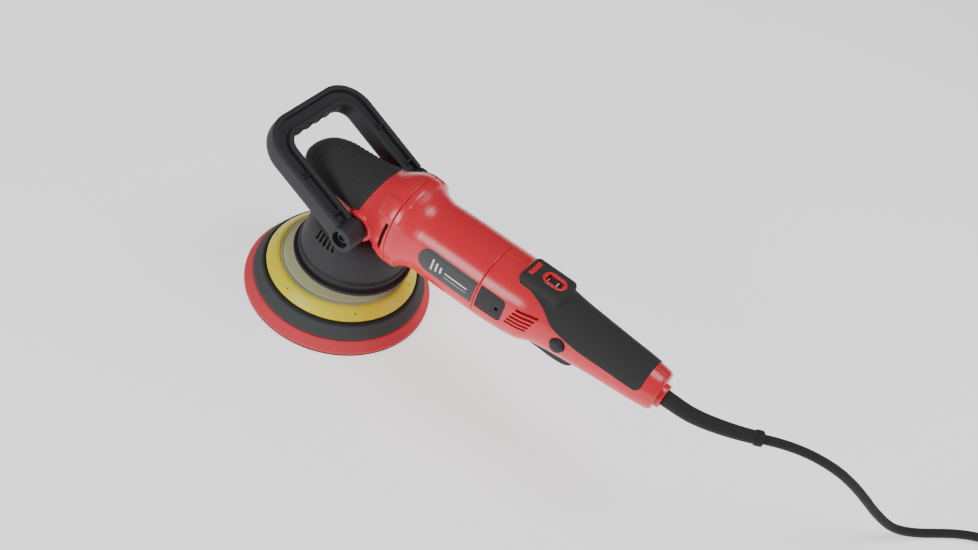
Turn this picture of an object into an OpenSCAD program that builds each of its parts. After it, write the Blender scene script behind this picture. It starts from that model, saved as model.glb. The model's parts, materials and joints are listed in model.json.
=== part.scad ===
// Dual action polisher: a random orbital polishing machine standing on its pad.
// The origin is on the drive spindle's axis, in the plane of the pad's working face.
// +X runs along the body to the rear, +Z is up, and the body is centred on Y = 0.

/* [Body] */
// Height of the motor's axis above the working face
axis_h = 122.5; // [120:0.5:126]
// Outer radius of the motor housing
barrel_r = 31; // [30.8:0.1:31.5]
// Outer radius of the flange between head and motor housing
flange_r = 40; // [39.5:0.1:40.5]
// Wall thickness of the moulded housings
wall = 3; // [2.5:0.25:3]

/* [Pad and orbit] */
// Offset of the pad's axis from the spindle's axis, half of the orbit
throw = 7.5; // [6:0.5:7.5]
// Radius of the polishing pad's working face
pad_r = 82.5; // [80:0.5:86]
// Radius of the cushion foam at its lower edge
foam_r = 75.6; // [74:0.2:78]
// Radius of the backing plate
plate_r = 65.9; // [65:0.1:67]

/* [Front handle] */
// Lean of the front handle from the vertical, in degrees
bail_lean = 66; // [60:1:70]
// Distance from the pivot to the middle of the hand grip
bail_reach = 97.5; // [96:0.5:110]
// Distance of each arm's centre from the middle of the machine
bail_half = 45.5; // [45.5:0.5:50]
// Radius of the arms
bail_arm_r = 9.5; // [8:0.5:9.5]
// Radius of the hand grip
bail_grip_r = 9; // [8:0.5:9.5]

/* [Gearing] */
// Teeth on the pinion
pinion_teeth = 10; // [10:1:10]
// Teeth on the crown gear
crown_teeth = 30; // [30:1:30]

/* [Cord] */
// Diameter of the power cord
cord_d = 8; // [7:0.5:8]
// Mean radius of the coiled length
coil_r = 44; // [42:1:46]

/* [Hidden] */
$fn = 96;
hull_fn = 32;
running = 0.05;
far = 200;

// Stations along the body
nose_x = -33;
cap_end_x = 19;
flare_x = 28;
flange_x = 43;
seam_x = 47;
barrel_x = 68;
rear_x = 131;
tail_x = 288;
head_z = axis_h - 0.5;
tail_z = 127;
guard_z = 124;

// Head
nose_r = 27;
nose_z = 118;
nose_flat = 0.84;
head_screw_r = 31.7;
head_half_w = 31;
head_half_h = 34.5;
skin = 3.5;
cap_edge_z = 124;
case_r = 25;
case_wall = 2.3;
case_z = [91, 116, 140.5];

// Bearings: bore radius, outer radius, width
small_bearing = [6, 14, 8];
spindle_bearing = [7.5, 17.5, 10];
front_bearing = [5, 13, 9];
rear_bearing = [4, 10, 8];
pad_bearing = [6, 13.5, 8];

// Front handle
pivot_x = 17;
pivot_z = 113.5;
bolt_r = 4;
bail_corner = 20;
boss_r = 9.5;
boss_in = 23;
boss_out = 35.5;
collar_r = 13;
bolt_in = 19.8;
eye_r = 11.5;
eye_in = 36.3;
eye_out = 54.6;
recess_r = 7.2;
recess_y = 48.7;

// Gear mesh
crown_pitch_r = 19.5;
pinion_pitch_r = crown_pitch_r * pinion_teeth / crown_teeth;
mesh_z = axis_h - pinion_pitch_r;
pinion_x = 17.5;
pinion_w = 4;
tooth_up = 1.1;
tooth_down = 1.4;

// Motor
core_x = [80, 112];
coil_x = [70, 122];
stator_r = 27.8;
stator_bore = 19.3;
rotor_r = 18.7;
brush_x = 145;
spigot_r = 23.5;
coil_spans = [[25, 155], [205, 335]];
bar_span = 15;

// Rear handle: x, radius and height of the centre at each section
sections = [[rear_x, barrel_r, axis_h], [172, 29.5, 125], [197, 24.3, 126.5], [tail_x, 17, tail_z]];
overlay_t = 1.6;
shell_t = 3.4;
bump_x = [153, 191];
bump_half = 14;
bump_top = 158;
overlay_outline = [
  [153, 165], [153, 151], [164, 151], [174, 149], [184, 145], [190, 141], [196, 137.5],
  [205, 135], [222, 132], [245, 131], [271, 130], [275, 133], [275, 165]
];
screw_places = [[228, 114], [228, 140], [272, 136]];
dial_x = 177;
dial_z = 146.5;
dial_r = 11;
trigger_pivot = [214, 106];
lock_at = [205, 127];

// Centre line of the cord guard and of the cord, as points
guard_route = [
  [290, 0, 124], [302, 0, 124], [312, 0.5, 124], [322, 3, 123.5], [334, 8, 122.5],
  [346, 14, 121.5], [357, 20.5, 120.5], [361, 23, 120], [362, 23.6, 120], [367, 27, 119.5]
];
guard_radii = [6.8, 6.6, 6.4, 6.2, 6, 5.8, 5.5, 5.4, 6.4, 6.4];
cord_route = [
  [367, 27, 119.5], [380, 35.5, 118], [393, 44, 115], [406, 52.5, 110], [418, 61, 103],
  [430, 70, 94], [441, 79, 83], [451, 88, 71], [461, 97, 58], [470, 106, 45],
  [479, 115, 33], [488, 124, 22], [497, 133, 13.5], [507, 143, 8], [518, 154, 5],
  [530, 166, 4], [542, 177, 4], [555, 187, 4], [568, 194.5, 4], [584, 202, 4],
  [600, 209, 4], [608, 212.5, 4]
];
coil_at = [616, 262];
coil_half_w = 12;
coil_h = 24;
plug_turn = 45;

// ---- Shared shapes ----

// Places children along X from x, centred at height z
module along_x(x, z = axis_h) {
  translate([x, 0, z])
    rotate([0, 90, 0])
      children();
}

// Places children along +Y from y, at x and z
module along_y(x, y, z) {
  translate([x, y, z])
    rotate([-90, 0, 0])
      children();
}

// Draws children on both sides of the machine
module both_sides() {
  for (side = [0, 1])
    mirror([0, side, 0])
      children();
}

// A ring standing on z = 0
module ring(outer, inner, h) {
  difference() {
    cylinder(r = outer, h = h);
    translate([0, 0, -1])
      cylinder(r = inner, h = h + 2);
  }
}

// Part of a ring, from angle a1 to a2
module ring_sector(outer, inner, a1, a2, h) {
  rotate([0, 0, a1])
    rotate_extrude(angle = a2 - a1)
      translate([inner, 0])
        square([outer - inner, h]);
}

// A ball bearing as two races with a shield between them
module bearing(size) {
  race = (size[1] - size[0]) * 0.28;
  ring(size[1], size[1] - race, size[2]);
  ring(size[0] + running + race, size[0] + running, size[2]);
  translate([0, 0, 0.6])
    ring(size[1] - race, size[0] + running + race, size[2] - 1.2);
}

// Turns the pad's axis into the axis of rotation
module on_pad_axis() {
  translate([-throw, 0, 0])
    children();
}

function unit(v) = v / norm(v);
function route_way(p, i) = unit(p[min(i + 1, len(p) - 1)] - p[max(i - 1, 0)]);
function ring_points(p, r, i, sides) =
  let (way = route_way(p, i), side = unit(cross(way, [0, 0, 1])), up = cross(side, way))
  [for (k = [0:sides - 1]) p[i] + r * (cos(360 * k / sides) * side + sin(360 * k / sides) * up)];

// A round tube swept along points p, with one radius for each point
module tube(p, radii, sides) {
  rings = len(p);
  sides_of = [
    for (i = [0:rings - 2], k = [0:sides - 1])
      let (n = (k + 1) % sides)
      [i * sides + k, i * sides + n, (i + 1) * sides + n, (i + 1) * sides + k]
  ];
  first = [for (k = [0:sides - 1]) sides - 1 - k];
  last = [for (k = [0:sides - 1]) (rings - 1) * sides + k];
  polyhedron(
    points = [for (i = [0:rings - 1]) each ring_points(p, radii[i], i, sides)],
    faces = concat(sides_of, [first, last]), convexity = 8);
}

// A compression spring standing on z = 0
module coil_spring(r, wire, turns, h) {
  steps = turns * 12;
  path = [
    for (i = [0:steps])
      let (a = 360 * i / 12)
      [r * cos(a), r * sin(a), wire + (h - 2 * wire) * i / steps]
  ];
  tube(path, [for (i = [0:steps]) wire], 6);
}

// A trapezium tooth on the line z = 0, pointing up
module tooth(base, top, low, high) {
  polygon([[-base / 2, low], [base / 2, low], [top / 2, high], [-top / 2, high]]);
}

// ---- Head ----

// Solid form of the head, its surface moved in by inset
module head_form(inset) {
  hull() {
    translate([nose_x, 0, nose_z])
      scale([1, 1, nose_flat])
        sphere(r = nose_r - inset, $fn = hull_fn);
    along_x(flare_x - 3, head_z)
      scale([(head_half_h - inset) / head_half_w, (head_half_w - inset) / head_half_w, 1])
        cylinder(r = head_half_w, h = 3, $fn = 2 * hull_fn);
  }
}

// The flare between the head and its round flange
module head_flare(inset) {
  hull() {
    along_x(flare_x - 1, head_z)
      scale([(head_half_h - inset) / head_half_w, (head_half_w - inset) / head_half_w, 1])
        cylinder(r = head_half_w, h = 1, $fn = 2 * hull_fn);
    along_x(flange_x, head_z)
      cylinder(r = flange_r - inset, h = seam_x - flange_x, $fn = 2 * hull_fn);
  }
}

// The region of the head that the rubber cap covers
module cap_region() {
  translate([nose_x - 2 * nose_r, -far / 2, cap_edge_z])
    cube([cap_end_x - nose_x + 2 * nose_r, far, far]);
}

module gear_case() {
  color("silver")
    difference() {
      union() {
        translate([0, 0, case_z[0]])
          cylinder(r = case_r, h = case_z[1] - case_z[0]);
        translate([0, 0, case_z[1]])
          cylinder(r1 = case_r, r2 = 15.6, h = case_z[2] - case_z[1]);
        along_x(0)
          cylinder(r = 16.5, h = seam_x);
        along_x(flange_x, head_z)
          cylinder(r = flange_r - skin - 0.5, h = seam_x - flange_x);
        both_sides()
          along_y(pivot_x, 12, pivot_z)
            cylinder(r = boss_r + 1.5, h = boss_in - 12);
      }
      translate([0, 0, case_z[0] - 1])
        cylinder(r = spindle_bearing[1], h = spindle_bearing[2] + 2);
      translate([0, 0, 104])
        cylinder(r = case_r - case_wall, h = case_z[1] - 104);
      translate([0, 0, case_z[1] - 0.1])
        cylinder(r1 = case_r - case_wall, r2 = 17.2, h = 14.6);
      translate([0, 0, 100])
        cylinder(r = 14, h = 5);
      translate([0, 0, 130])
        cylinder(r = small_bearing[1], h = 9);
      along_x(0)
        cylinder(r = 9.5, h = 40);
      along_x(39)
        cylinder(r = front_bearing[1], h = far);
      handle_boss_space(boss_r, boss_in);
      handle_boss_space(bolt_r, bolt_in);
      gear_case_screw_places()
        cylinder(r = 2, h = 30, center = true);
    }
}

// Space of the gear case inside the head, with a gap
module case_space(gap) {
  translate([0, 0, case_z[1] - 8])
    cylinder(r = case_r + gap, h = 8);
  translate([0, 0, case_z[1]])
    cylinder(r1 = case_r + gap, r2 = 15.6 + gap, h = case_z[2] - case_z[1] + gap);
}

// Space of the bosses that carry the front handle
module handle_boss_space(r, from) {
  both_sides()
    along_y(pivot_x, from, pivot_z)
      cylinder(r = r, h = far);
}

// The four screws of the head flange, along X
module gear_case_screw_places() {
  for (a = [45:90:315])
    translate([seam_x, head_screw_r * cos(a), head_z + head_screw_r * sin(a)])
      rotate([0, 90, 0])
        children();
}

module head_cover() {
  color("crimson")
    difference() {
      union() {
        difference() {
          head_form(0);
          cap_region();
        }
        difference() {
          head_flare(0);
          translate([-far, -far / 2, 0])
            cube([far + flare_x - 1, far, far]);
        }
        both_sides()
          along_y(pivot_x, 24, pivot_z)
            cylinder(r = collar_r, h = 9);
      }
      head_form(skin);
      head_flare(skin);
      translate([0, 0, 60])
        cylinder(r = case_r + 0.2, h = 54);
      case_space(0.2);
      rotate_extrude()
        polygon([[0, 60], [47, 60], [42.4, 80.3], [38.3, 88.4], [33.2, 91.3], [0, 91.3]]);
      handle_boss_space(boss_r, boss_in);
      along_y(pivot_x, -boss_in, pivot_z)
        cylinder(r = boss_r + 1.6, h = 2 * boss_in);
      translate([seam_x - 4, -far / 2, 112])
        cube([far, far / 2 - 30, 28]);
    }
}

module head_grip_cap() {
  color("#242424")
    difference() {
      intersection() {
        head_form(0);
        cap_region();
      }
      head_form(skin);
      case_space(0.2);
      along_y(pivot_x, -far, pivot_z)
        cylinder(r = collar_r + 0.1, h = 2 * far);
    }
}

module shroud() {
  color("#1c1c1c")
    rotate_extrude()
      polygon([
        [51.3, 47.5], [51.3, 50], [48.3, 52], [46.8, 54.5], [46.3, 60], [44.6, 70], [42, 80],
        [38, 88], [33, 91], [25.3, 91], [25.3, 88.6], [32, 88.6], [36, 86], [39.5, 79],
        [42.1, 69.5], [43.8, 60], [44.3, 54], [46, 50.5], [49, 49.6], [49, 47.5]
      ]);
}

module upper_spindle_bearing() {
  color("lightgray")
    translate([0, 0, 131])
      bearing(small_bearing);
}

module lower_spindle_bearing() {
  color("lightgray")
    translate([0, 0, 92])
      bearing(spindle_bearing);
}

module gear_case_screws() {
  color("dimgray")
    gear_case_screw_places() {
      translate([0, 0, -5])
        cylinder(r = 2, h = 12);
      translate([0, 0, -8])
        cylinder(r = 3, h = 3);
    }
}

// ---- Motor ----

module motor_housing() {
  color("crimson")
    difference() {
      union() {
        along_x(seam_x, head_z)
          ring(flange_r, flange_r - 4, 10);
        along_x(seam_x + 7.5, head_z)
          ring(flange_r, 33.5, 2.5);
        along_x(0)
          rotate_extrude()
            polygon([
              [37.5, 56], [37, 58], [35, 61], [33, 64.5], [barrel_r + 0.8, barrel_x],
              [barrel_r, 74], [barrel_r, rear_x], [spigot_r, rear_x], [spigot_r, 160], [12.5, 162.5],
              [12.5, 171], [rear_bearing[1], 171], [rear_bearing[1], 160], [spigot_r - 2, 158],
              [spigot_r - 2, 126], [barrel_r - wall, 126], [barrel_r - wall, barrel_x],
              [30.5, 62], [34.2, 56]
            ]);
        gear_case_screw_places()
          ring(3.8, 2, 10);
      }
      for (side = [-1, 1])
        translate([brush_x, side * 18, axis_h])
          cube([12.2, 20, 9.2], center = true);
      label_space(0.6);
    }
}

// Outline of a label, as it is seen from the side
module label_outline() {
  hull() {
    translate([88, 5])
      circle(r = 9, $fn = hull_fn);
    translate([112, -6])
      square([17, 22]);
  }
}

// Shallow space for the labels on both sides of the motor housing
module label_space(depth) {
  both_sides()
    intersection() {
      along_x(70)
        ring(barrel_r + 1, barrel_r - depth, 62);
      translate([0, 0, axis_h])
        rotate([90, 0, 0])
          linear_extrude(height = far)
            label_outline();
    }
}

module label_insets() {
  color("#2a2a2a")
    intersection() {
      label_space(0.6);
      along_x(60)
        cylinder(r = barrel_r + 0.2, h = 80);
    }
}

module stator_core() {
  color("slategray")
    difference() {
      along_x(core_x[0])
        ring(stator_r, stator_bore, core_x[1] - core_x[0]);
      coil_bars(0.1, 60, 80);
    }
}

// The straight sides of the field coils, which lie in the core's slots
module coil_bars(grow, x, length) {
  for (span = coil_spans, a = [span[0], span[1] - bar_span])
    along_x(x)
      ring_sector(stator_r - 1.5 + grow, stator_bore + 1.2 - grow, a - grow, a + bar_span + grow, length);
}

module field_coils() {
  color("peru")
    union() {
      for (span = coil_spans, x = [coil_x[0], core_x[1]])
        along_x(x)
          ring_sector(stator_r - 1.5, stator_bore + 1.2, span[0], span[1], core_x[0] - coil_x[0]);
      coil_bars(-0.1, core_x[0] - 1, core_x[1] - core_x[0] + 2);
    }
}

module front_armature_bearing() {
  color("lightgray")
    along_x(39)
      bearing(front_bearing);
}

module rear_armature_bearing() {
  color("lightgray")
    along_x(163)
      bearing(rear_bearing);
}

module brush_holders() {
  color("goldenrod")
    both_sides()
      difference() {
        translate([brush_x - 6, 13, axis_h - 4.5])
          cube([12, 11, 9]);
        translate([brush_x - 4.1, 12, axis_h - 3.1])
          cube([8.2, 11, 6.2]);
      }
}

module carbon_brushes() {
  color("#303030")
    both_sides()
      translate([brush_x - 4, 11.9, axis_h - 3])
        cube([8, 7, 6]);
}

module brush_springs() {
  color("silver")
    both_sides()
      along_y(brush_x, 18.95, axis_h)
        coil_spring(2, 0.35, 4, 4);
}

// Window in the rear housing that each brush cover closes
module brush_window(gap) {
  both_sides()
    translate([133 + gap, 20, 117 + gap])
      cube([24 - 2 * gap, far, 21 - 2 * gap]);
}

module brush_covers() {
  color("#262626")
    difference() {
      intersection() {
        brush_window(0.1);
        along_x(120, axis_h + 0.6)
          ring(31, 28.2, 60);
      }
      both_sides()
        along_y(151, 20, 122)
          cylinder(r = 1.6, h = 20);
    }
}

// ---- Rear handle ----

// Solid form of the rear housing between sections a and b, moved in by inset
module rear_form(inset, first = 0) {
  for (i = [first:len(sections) - 2])
    hull()
      for (s = [sections[i], sections[i + 1]])
        along_x(s[0] - (s[0] == rear_x ? 0 : 0.1), s[2])
          cylinder(r = s[1] - inset, h = 0.1, $fn = 2 * hull_fn);
}

// The raised pad that carries the speed dial
module bump_form(inset) {
  hull() {
    translate([bump_x[0] + inset, -bump_half + inset, 146])
      cube([bump_x[1] - bump_x[0] - 2 * inset, 2 * (bump_half - inset), 10 - inset]);
    translate([bump_x[0] + 4, -bump_half + 4, 150])
      cube([bump_x[1] - bump_x[0] - 8, 2 * bump_half - 8, bump_top - 150 - inset]);
  }
}

module overlay_skin() {
  difference() {
    union() {
      rear_form(0, 1);
      bump_form(0);
    }
    rear_form(overlay_t, 1);
    bump_form(overlay_t);
  }
}

module overlay_region() {
  translate([0, far / 2, 0])
    rotate([90, 0, 0])
      linear_extrude(height = far)
        polygon(overlay_outline);
}

module overlay_solid() {
  intersection() {
    overlay_skin();
    overlay_region();
  }
}

// Oval outline of the dial's bezel
module bezel_outline(inset) {
  hull()
    for (x = [dial_x - 3.5, dial_x + 3.5])
      translate([x, 0])
        circle(r = 7 - inset, $fn = hull_fn);
}

module dial_window() {
  translate([dial_x - 7, -4, bump_top - 12])
    cube([14, 8, 20]);
}

module lens_space(gap) {
  translate([156.5 + gap, -8 + gap, bump_top - overlay_t - 0.5])
    cube([4.5 - 2 * gap, 16 - 2 * gap, 10]);
}

module grip_overlay() {
  color("#202020")
    difference() {
      overlay_solid();
      translate([0, 0, bump_top - 5])
        linear_extrude(height = 20)
          bezel_outline(0);
      lens_space(0);
    }
}

module dial_bezel() {
  color("crimson")
    difference() {
      translate([0, 0, bump_top - overlay_t + 0.05])
        linear_extrude(height = overlay_t + 0.4)
          bezel_outline(0.1);
      dial_window();
    }
}

module indicator_lens() {
  color("red")
    intersection() {
      lens_space(0.1);
      translate([150, -20, bump_top - overlay_t + 0.05])
        cube([20, 40, overlay_t + 0.2]);
    }
}

// The whole rear housing, before it is split into two shells
module rear_housing() {
  $fn = 40;
  difference() {
    union() {
      difference() {
        union() {
          rear_form(0);
          bump_form(overlay_t);
          along_x(tail_x, guard_z)
            cylinder(r = 10, h = 4);
        }
        rear_form(shell_t);
        translate([164, -10, 128])
          cube([25, 20, 27.5]);
      }
      intersection() {
        for (s = screw_places)
          along_y(s[0], -far / 2, s[1])
            cylinder(r = 5, h = far);
        rear_form(1);
      }
    }
    overlay_skin_cut();
    brush_window(0);
    dial_window();
    translate([trigger_pivot[0] - 38.5, -8.9, 60])
      cube([45, 17.8, 54]);
    along_y(lock_at[0], -far, lock_at[1])
      cylinder(r = 6.5, h = far - 5);
    along_x(tail_x - 20, guard_z)
      cylinder(r = 7.3, h = 30);
    along_x(275.9, guard_z)
      cylinder(r = 9.3, h = 3.2);
    translate([trigger_pivot[0], 0, trigger_pivot[1]])
      rotate([90, 0, 0])
        cylinder(r = 2.05, h = 19.2, center = true);
    for (s = screw_places) {
      along_y(s[0], -9, s[1])
        cylinder(r = 1.6, h = far);
      along_y(s[0], 8, s[1])
        cylinder(r = 3.2, h = far);
    }
    both_sides()
      for (i = [0:4])
        translate([162 + i * 0.4, 20, 124.5 + i * 3.1])
          cube([17, far, 1.6]);
  }
}

// What the overlay takes from the rear housing
module overlay_skin_cut() {
  intersection() {
    difference() {
      union() {
        rear_form(-1, 1);
        translate([bump_x[0] - 1, -bump_half - 1, 140])
          cube([bump_x[1] - bump_x[0] + 2, 2 * bump_half + 2, 30]);
      }
      rear_form(overlay_t, 1);
      bump_form(overlay_t);
    }
    overlay_region();
  }
}

module half_space(side) {
  translate([0, side < 0 ? -far : 0, -1])
    cube([2 * far, far, 2 * far]);
}

module handle_shell_left() {
  color("crimson")
    intersection() {
      rear_housing();
      half_space(-1);
    }
}

module handle_shell_right() {
  color("crimson")
    intersection() {
      rear_housing();
      half_space(1);
    }
}

module handle_screws() {
  color("dimgray")
    for (s = screw_places) {
      along_y(s[0], -8, s[1])
        cylinder(r = 1.5, h = 16);
      along_y(s[0], 8, s[1])
        cylinder(r = 3, h = 2.5);
    }
}

module control_board() {
  color("darkgreen")
    union() {
      translate([173, -13, 131])
        cube([23, 26, 1.6]);
      for (x = [177, 188], y = [-9, 9])
        translate([x, y, 132])
          cylinder(r = 3.2, h = 9);
    }
}

module switch_body() {
  color("#383838")
    union() {
      translate([183, -9, 112])
        cube([29, 18, 16]);
      translate([200, -2.5, 110.6])
        cube([5, 5, 2]);
    }
}

module trigger_spring() {
  color("silver")
    translate([189, 0, 104.6])
      coil_spring(3, 0.45, 5, 7.3);
}

module trigger_pin() {
  color("silver")
    along_y(trigger_pivot[0], -9.5, trigger_pivot[1])
      cylinder(r = 2, h = 19);
}

module lock_spring() {
  color("silver")
    along_y(lock_at[0], -16.9, lock_at[1])
      coil_spring(4.2, 0.4, 4, 7.8);
}

module cord_clamp() {
  color("#303030")
    difference() {
      translate([255, -9, guard_z - 8])
        cube([9, 18, 16]);
      along_x(254, guard_z)
        cylinder(r = 4, h = 11);
    }
}

module cord_guard() {
  color("#181818")
    union() {
      along_x(276, guard_z)
        cylinder(r = 9, h = 3);
      along_x(278, guard_z)
        cylinder(r = 7.2, h = 14.5);
      tube(guard_route, guard_radii, 12);
    }
}

// ---- Front handle ----

module handle_bosses() {
  color("#202020")
    both_sides()
      along_y(pivot_x, boss_in, pivot_z)
        ring(boss_r, bolt_r, boss_out - boss_in);
}

module handle_bolts() {
  color("gray")
    both_sides() {
      along_y(pivot_x, bolt_in + 0.2, pivot_z)
        cylinder(r = bolt_r, h = 29.2);
      along_y(pivot_x, 49, pivot_z)
        cylinder(r = 6.5, h = 4, $fn = 6);
    }
}

module front_handle() {
  straight = bail_reach - bail_corner;
  color("#1e1e1e")
    translate([pivot_x, 0, pivot_z])
      rotate([0, -bail_lean, 0])
        difference() {
          union() {
            both_sides() {
              translate([0, bail_half, 0])
                cylinder(r = bail_arm_r, h = straight);
              translate([0, bail_half - bail_corner, straight])
                rotate([0, -90, 0])
                  rotate_extrude(angle = 90)
                    translate([bail_corner, 0])
                      circle(r = bail_arm_r);
              along_y(0, eye_in, 0)
                cylinder(r = eye_r, h = eye_out - eye_in);
            }
            translate([0, 0, bail_reach])
              rotate([90, 0, 0])
                cylinder(r = bail_grip_r, h = 2 * (bail_half - bail_corner) + 2, center = true);
          }
          both_sides() {
            along_y(0, 0, 0)
              cylinder(r = bolt_r + running, h = far);
            along_y(0, recess_y, 0)
              cylinder(r = recess_r, h = far);
          }
        }
}

// ---- Armature ----

module armature_shaft() {
  color("silver")
    along_x(0)
      rotate_extrude()
        polygon([[0, 14], [3.5, 14], [3.5, 27], [5, 27], [5, 157], [4, 157], [4, 172], [0, 172]]);
}

module armature_core() {
  color("slategray")
    along_x(core_x[0])
      difference() {
        ring(rotor_r, 5, core_x[1] - core_x[0]);
        for (i = [0:11])
          rotate([0, 0, 30 * i])
            translate([9, -1.6, -1])
              cube([far, 3.2, far]);
      }
}

module armature_windings() {
  color("chocolate")
    union() {
      for (x = [coil_x[0] + 1, core_x[1]])
        along_x(x)
          ring(17, 7, 9);
      along_x(core_x[0])
        for (i = [0:11])
          rotate([0, 0, 30 * i])
            translate([9.2, -1.5, 0])
              cube([7, 3, core_x[1] - core_x[0]]);
    }
}

module commutator() {
  color("orange")
    along_x(135)
      difference() {
        ring(11.5, 5, 19);
        for (i = [0:23])
          rotate([0, 0, 15 * i])
            translate([10.2, -0.25, 2])
              cube([5, 0.5, 18]);
      }
}

module cooling_fan() {
  color("#303030")
    along_x(52) {
      ring(9, 5, 12);
      ring(27, 8.9, 2);
      for (i = [0:10])
        rotate([0, 0, 360 * i / 11])
          translate([8.8, -0.8, 1.9])
            cube([17.5, 1.6, 10]);
    }
}

module pinion() {
  color("gray")
    along_x(pinion_x)
      difference() {
        linear_extrude(height = pinion_w)
          union() {
            circle(r = pinion_pitch_r - tooth_down + 0.1);
            for (i = [0:pinion_teeth - 1])
              rotate(360 * i / pinion_teeth + 90)
                translate([0, pinion_pitch_r])
                  tooth(2.3, 0.9, -tooth_down, tooth_up);
          }
        translate([0, 0, -1])
          cylinder(r = 3.5, h = far);
      }
}

// ---- Spindle ----

module spindle() {
  color("silver")
    rotate_extrude()
      polygon([
        [0, 80], [7.5, 80], [7.5, 107], [7, 107], [7, 130], [6, 130], [6, 139], [0, 139]
      ]);
}

module crown_gear() {
  color("gray")
    union() {
      translate([0, 0, 108])
        ring(22.2, 7, mesh_z - tooth_down - 108);
      for (i = [0:crown_teeth - 1])
        rotate([0, 0, 360 * (i + 0.5) / crown_teeth])
          translate([16.7, 0, mesh_z])
            rotate([90, 0, 90])
              linear_extrude(height = 5.5)
                tooth(2.2, 0.8, -tooth_down - 0.1, tooth_up);
    }
}

module eccentric_carrier() {
  color("dimgray")
    difference() {
      union() {
        translate([0, 0, 78])
          cylinder(r = 13, h = 12);
        on_pad_axis()
          translate([0, 0, 54])
            cylinder(r = 17, h = 26);
      }
      translate([0, 0, 80])
        cylinder(r = 7.5, h = far);
      on_pad_axis()
        translate([0, 0, 50])
          cylinder(r = pad_bearing[1], h = 26.5);
    }
}

module counterweight() {
  color("darkgray")
    difference() {
      translate([0, 0, 58])
        ring_sector(39, 6, -55, 55, 16);
      on_pad_axis()
        cylinder(r = 17, h = far);
    }
}

module eccentric_bearings() {
  color("lightgray")
    on_pad_axis()
      for (z = [57, 66.5])
        translate([0, 0, z])
          bearing(pad_bearing);
}

// ---- Pad ----

module pad_shaft() {
  color("silver")
    on_pad_axis()
      rotate_extrude()
        polygon([
          [0, 30], [4.5, 30], [4.5, 50], [10, 50], [10, 54.5], [6, 54.5], [6, 75.6], [0, 75.6]
        ]);
}

module plate_hub() {
  color("gray")
    on_pad_axis()
      translate([0, 0, 25])
        ring(15, 4.5, 25);
}

module hub_disc() {
  color("#e6e4a8")
    on_pad_axis()
      rotate_extrude()
        polygon([[15, 33], [55.1, 33], [55.1, 34.6], [40, 38.5], [26, 44], [15, 45]]);
}

module backing_plate() {
  color("yellow")
    on_pad_axis()
      difference() {
        rotate_extrude()
          polygon([
            [15, 24], [65, 24], [plate_r, 25.8], [57.5, 33.4], [55.3, 34.5], [55.1, 33], [15, 33]
          ]);
        for (a = [20:60:320])
          rotate([0, 0, a])
            translate([61, 0, 20])
              cylinder(r = 0.9, h = 30);
      }
}

module plate_rim() {
  color("#161616")
    on_pad_axis()
      rotate_extrude()
        polygon([
          [0, 22.9], [68.8, 22.9], [68.2, 24.4], [66.4, 25.2], [65.2, 24], [0, 24]
        ]);
}

module cushion_foam() {
  color("#3c3e3e")
    on_pad_axis()
      rotate_extrude()
        polygon([[0, 12.6], [foam_r, 12.6], [foam_r - 0.4, 14], [69.3, 22.5], [68.6, 22.9], [0, 22.9]]);
}

module hook_layer() {
  color("#101010")
    on_pad_axis()
      translate([0, 0, 11.4])
        cylinder(r = foam_r - 0.8, h = 1.2);
}

module polishing_pad() {
  color("#e24048")
    on_pad_axis()
      rotate_extrude()
        polygon([[0, 1.5], [pad_r - 0.4, 1.5], [pad_r, 3.5], [foam_r + 0.6, 11], [foam_r, 11.4], [0, 11.4]]);
}

module pad_face_layer() {
  color("#141414")
    on_pad_axis()
      cylinder(r = pad_r - 0.4, h = 1.5);
}

// ---- Controls ----

module trigger() {
  color("#1a1a1a")
    difference() {
      translate([0, 8.5, 0])
        rotate([90, 0, 0])
          linear_extrude(height = 17)
            polygon([
              [177, 101.5], [176.5, 98], [178.5, 94.5], [199, 93.8], [211, 95], [217, 98.5],
              [219, 103], [218.5, 109.5], [210, 110], [208, 104.4], [180, 104.4]
            ]);
      along_y(trigger_pivot[0], -20, trigger_pivot[1])
        cylinder(r = 2 + running, h = 40);
    }
}

module lock_button() {
  color("#141414")
    translate([lock_at[0], 0, lock_at[1]])
      rotate([90, 0, 0])
        rotate_extrude()
          polygon([
            [0, 13], [3, 13], [3, 17], [7, 17], [7, 17.8], [6.1, 17.8], [6.1, 25.5],
            [4.6, 27], [2.4, 27.9], [0, 28.2]
          ]);
}

module speed_dial() {
  color("#202020")
    union() {
      along_y(dial_x, -3.4, dial_z)
        difference() {
          cylinder(r = dial_r, h = 6.8);
          for (i = [0:35])
            rotate([0, 0, 10 * i])
              translate([dial_r + 0.3, 0, -1])
                cylinder(r = 0.7, h = far, $fn = 4);
        }
      along_y(dial_x, -6, dial_z)
        cylinder(r = 2, h = 12);
    }
}

// ---- Cord ----

module power_cord() {
  color("#151515")
    tube(cord_route, [for (p = cord_route) cord_d / 2], 10);
}

module cord_coil() {
  color("#151515")
    translate([coil_at[0], coil_at[1], 0])
      ring(coil_r + coil_half_w, coil_r - coil_half_w, coil_h);
}

module cord_tie() {
  color("#303030")
    translate([coil_at[0], coil_at[1], 0])
      rotate([0, 0, 135])
        translate([coil_r - coil_half_w - 1.5, -4, 0])
          difference() {
            cube([2 * coil_half_w + 3, 8, coil_h + 1.5]);
            translate([1.5, -1, -1])
              cube([2 * coil_half_w, 10, coil_h + 1]);
          }
}

module plug() {
  color("#181818")
    translate([coil_at[0], coil_at[1], coil_h])
      rotate([0, 0, plug_turn])
        translate([coil_r, 0, 0])
          rotate([0, 0, 90]) {
            translate([-18, 0, 8.6])
              rotate([0, 90, 0])
                cylinder(r1 = 6, r2 = 8, h = 13);
            translate([-6, -12, 0.1])
              cube([18, 24, 17]);
            for (y = [-6.35, 6.35])
              translate([11, y - 0.75, 5.4])
                cube([18, 1.5, 6.4]);
          }
}

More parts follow.
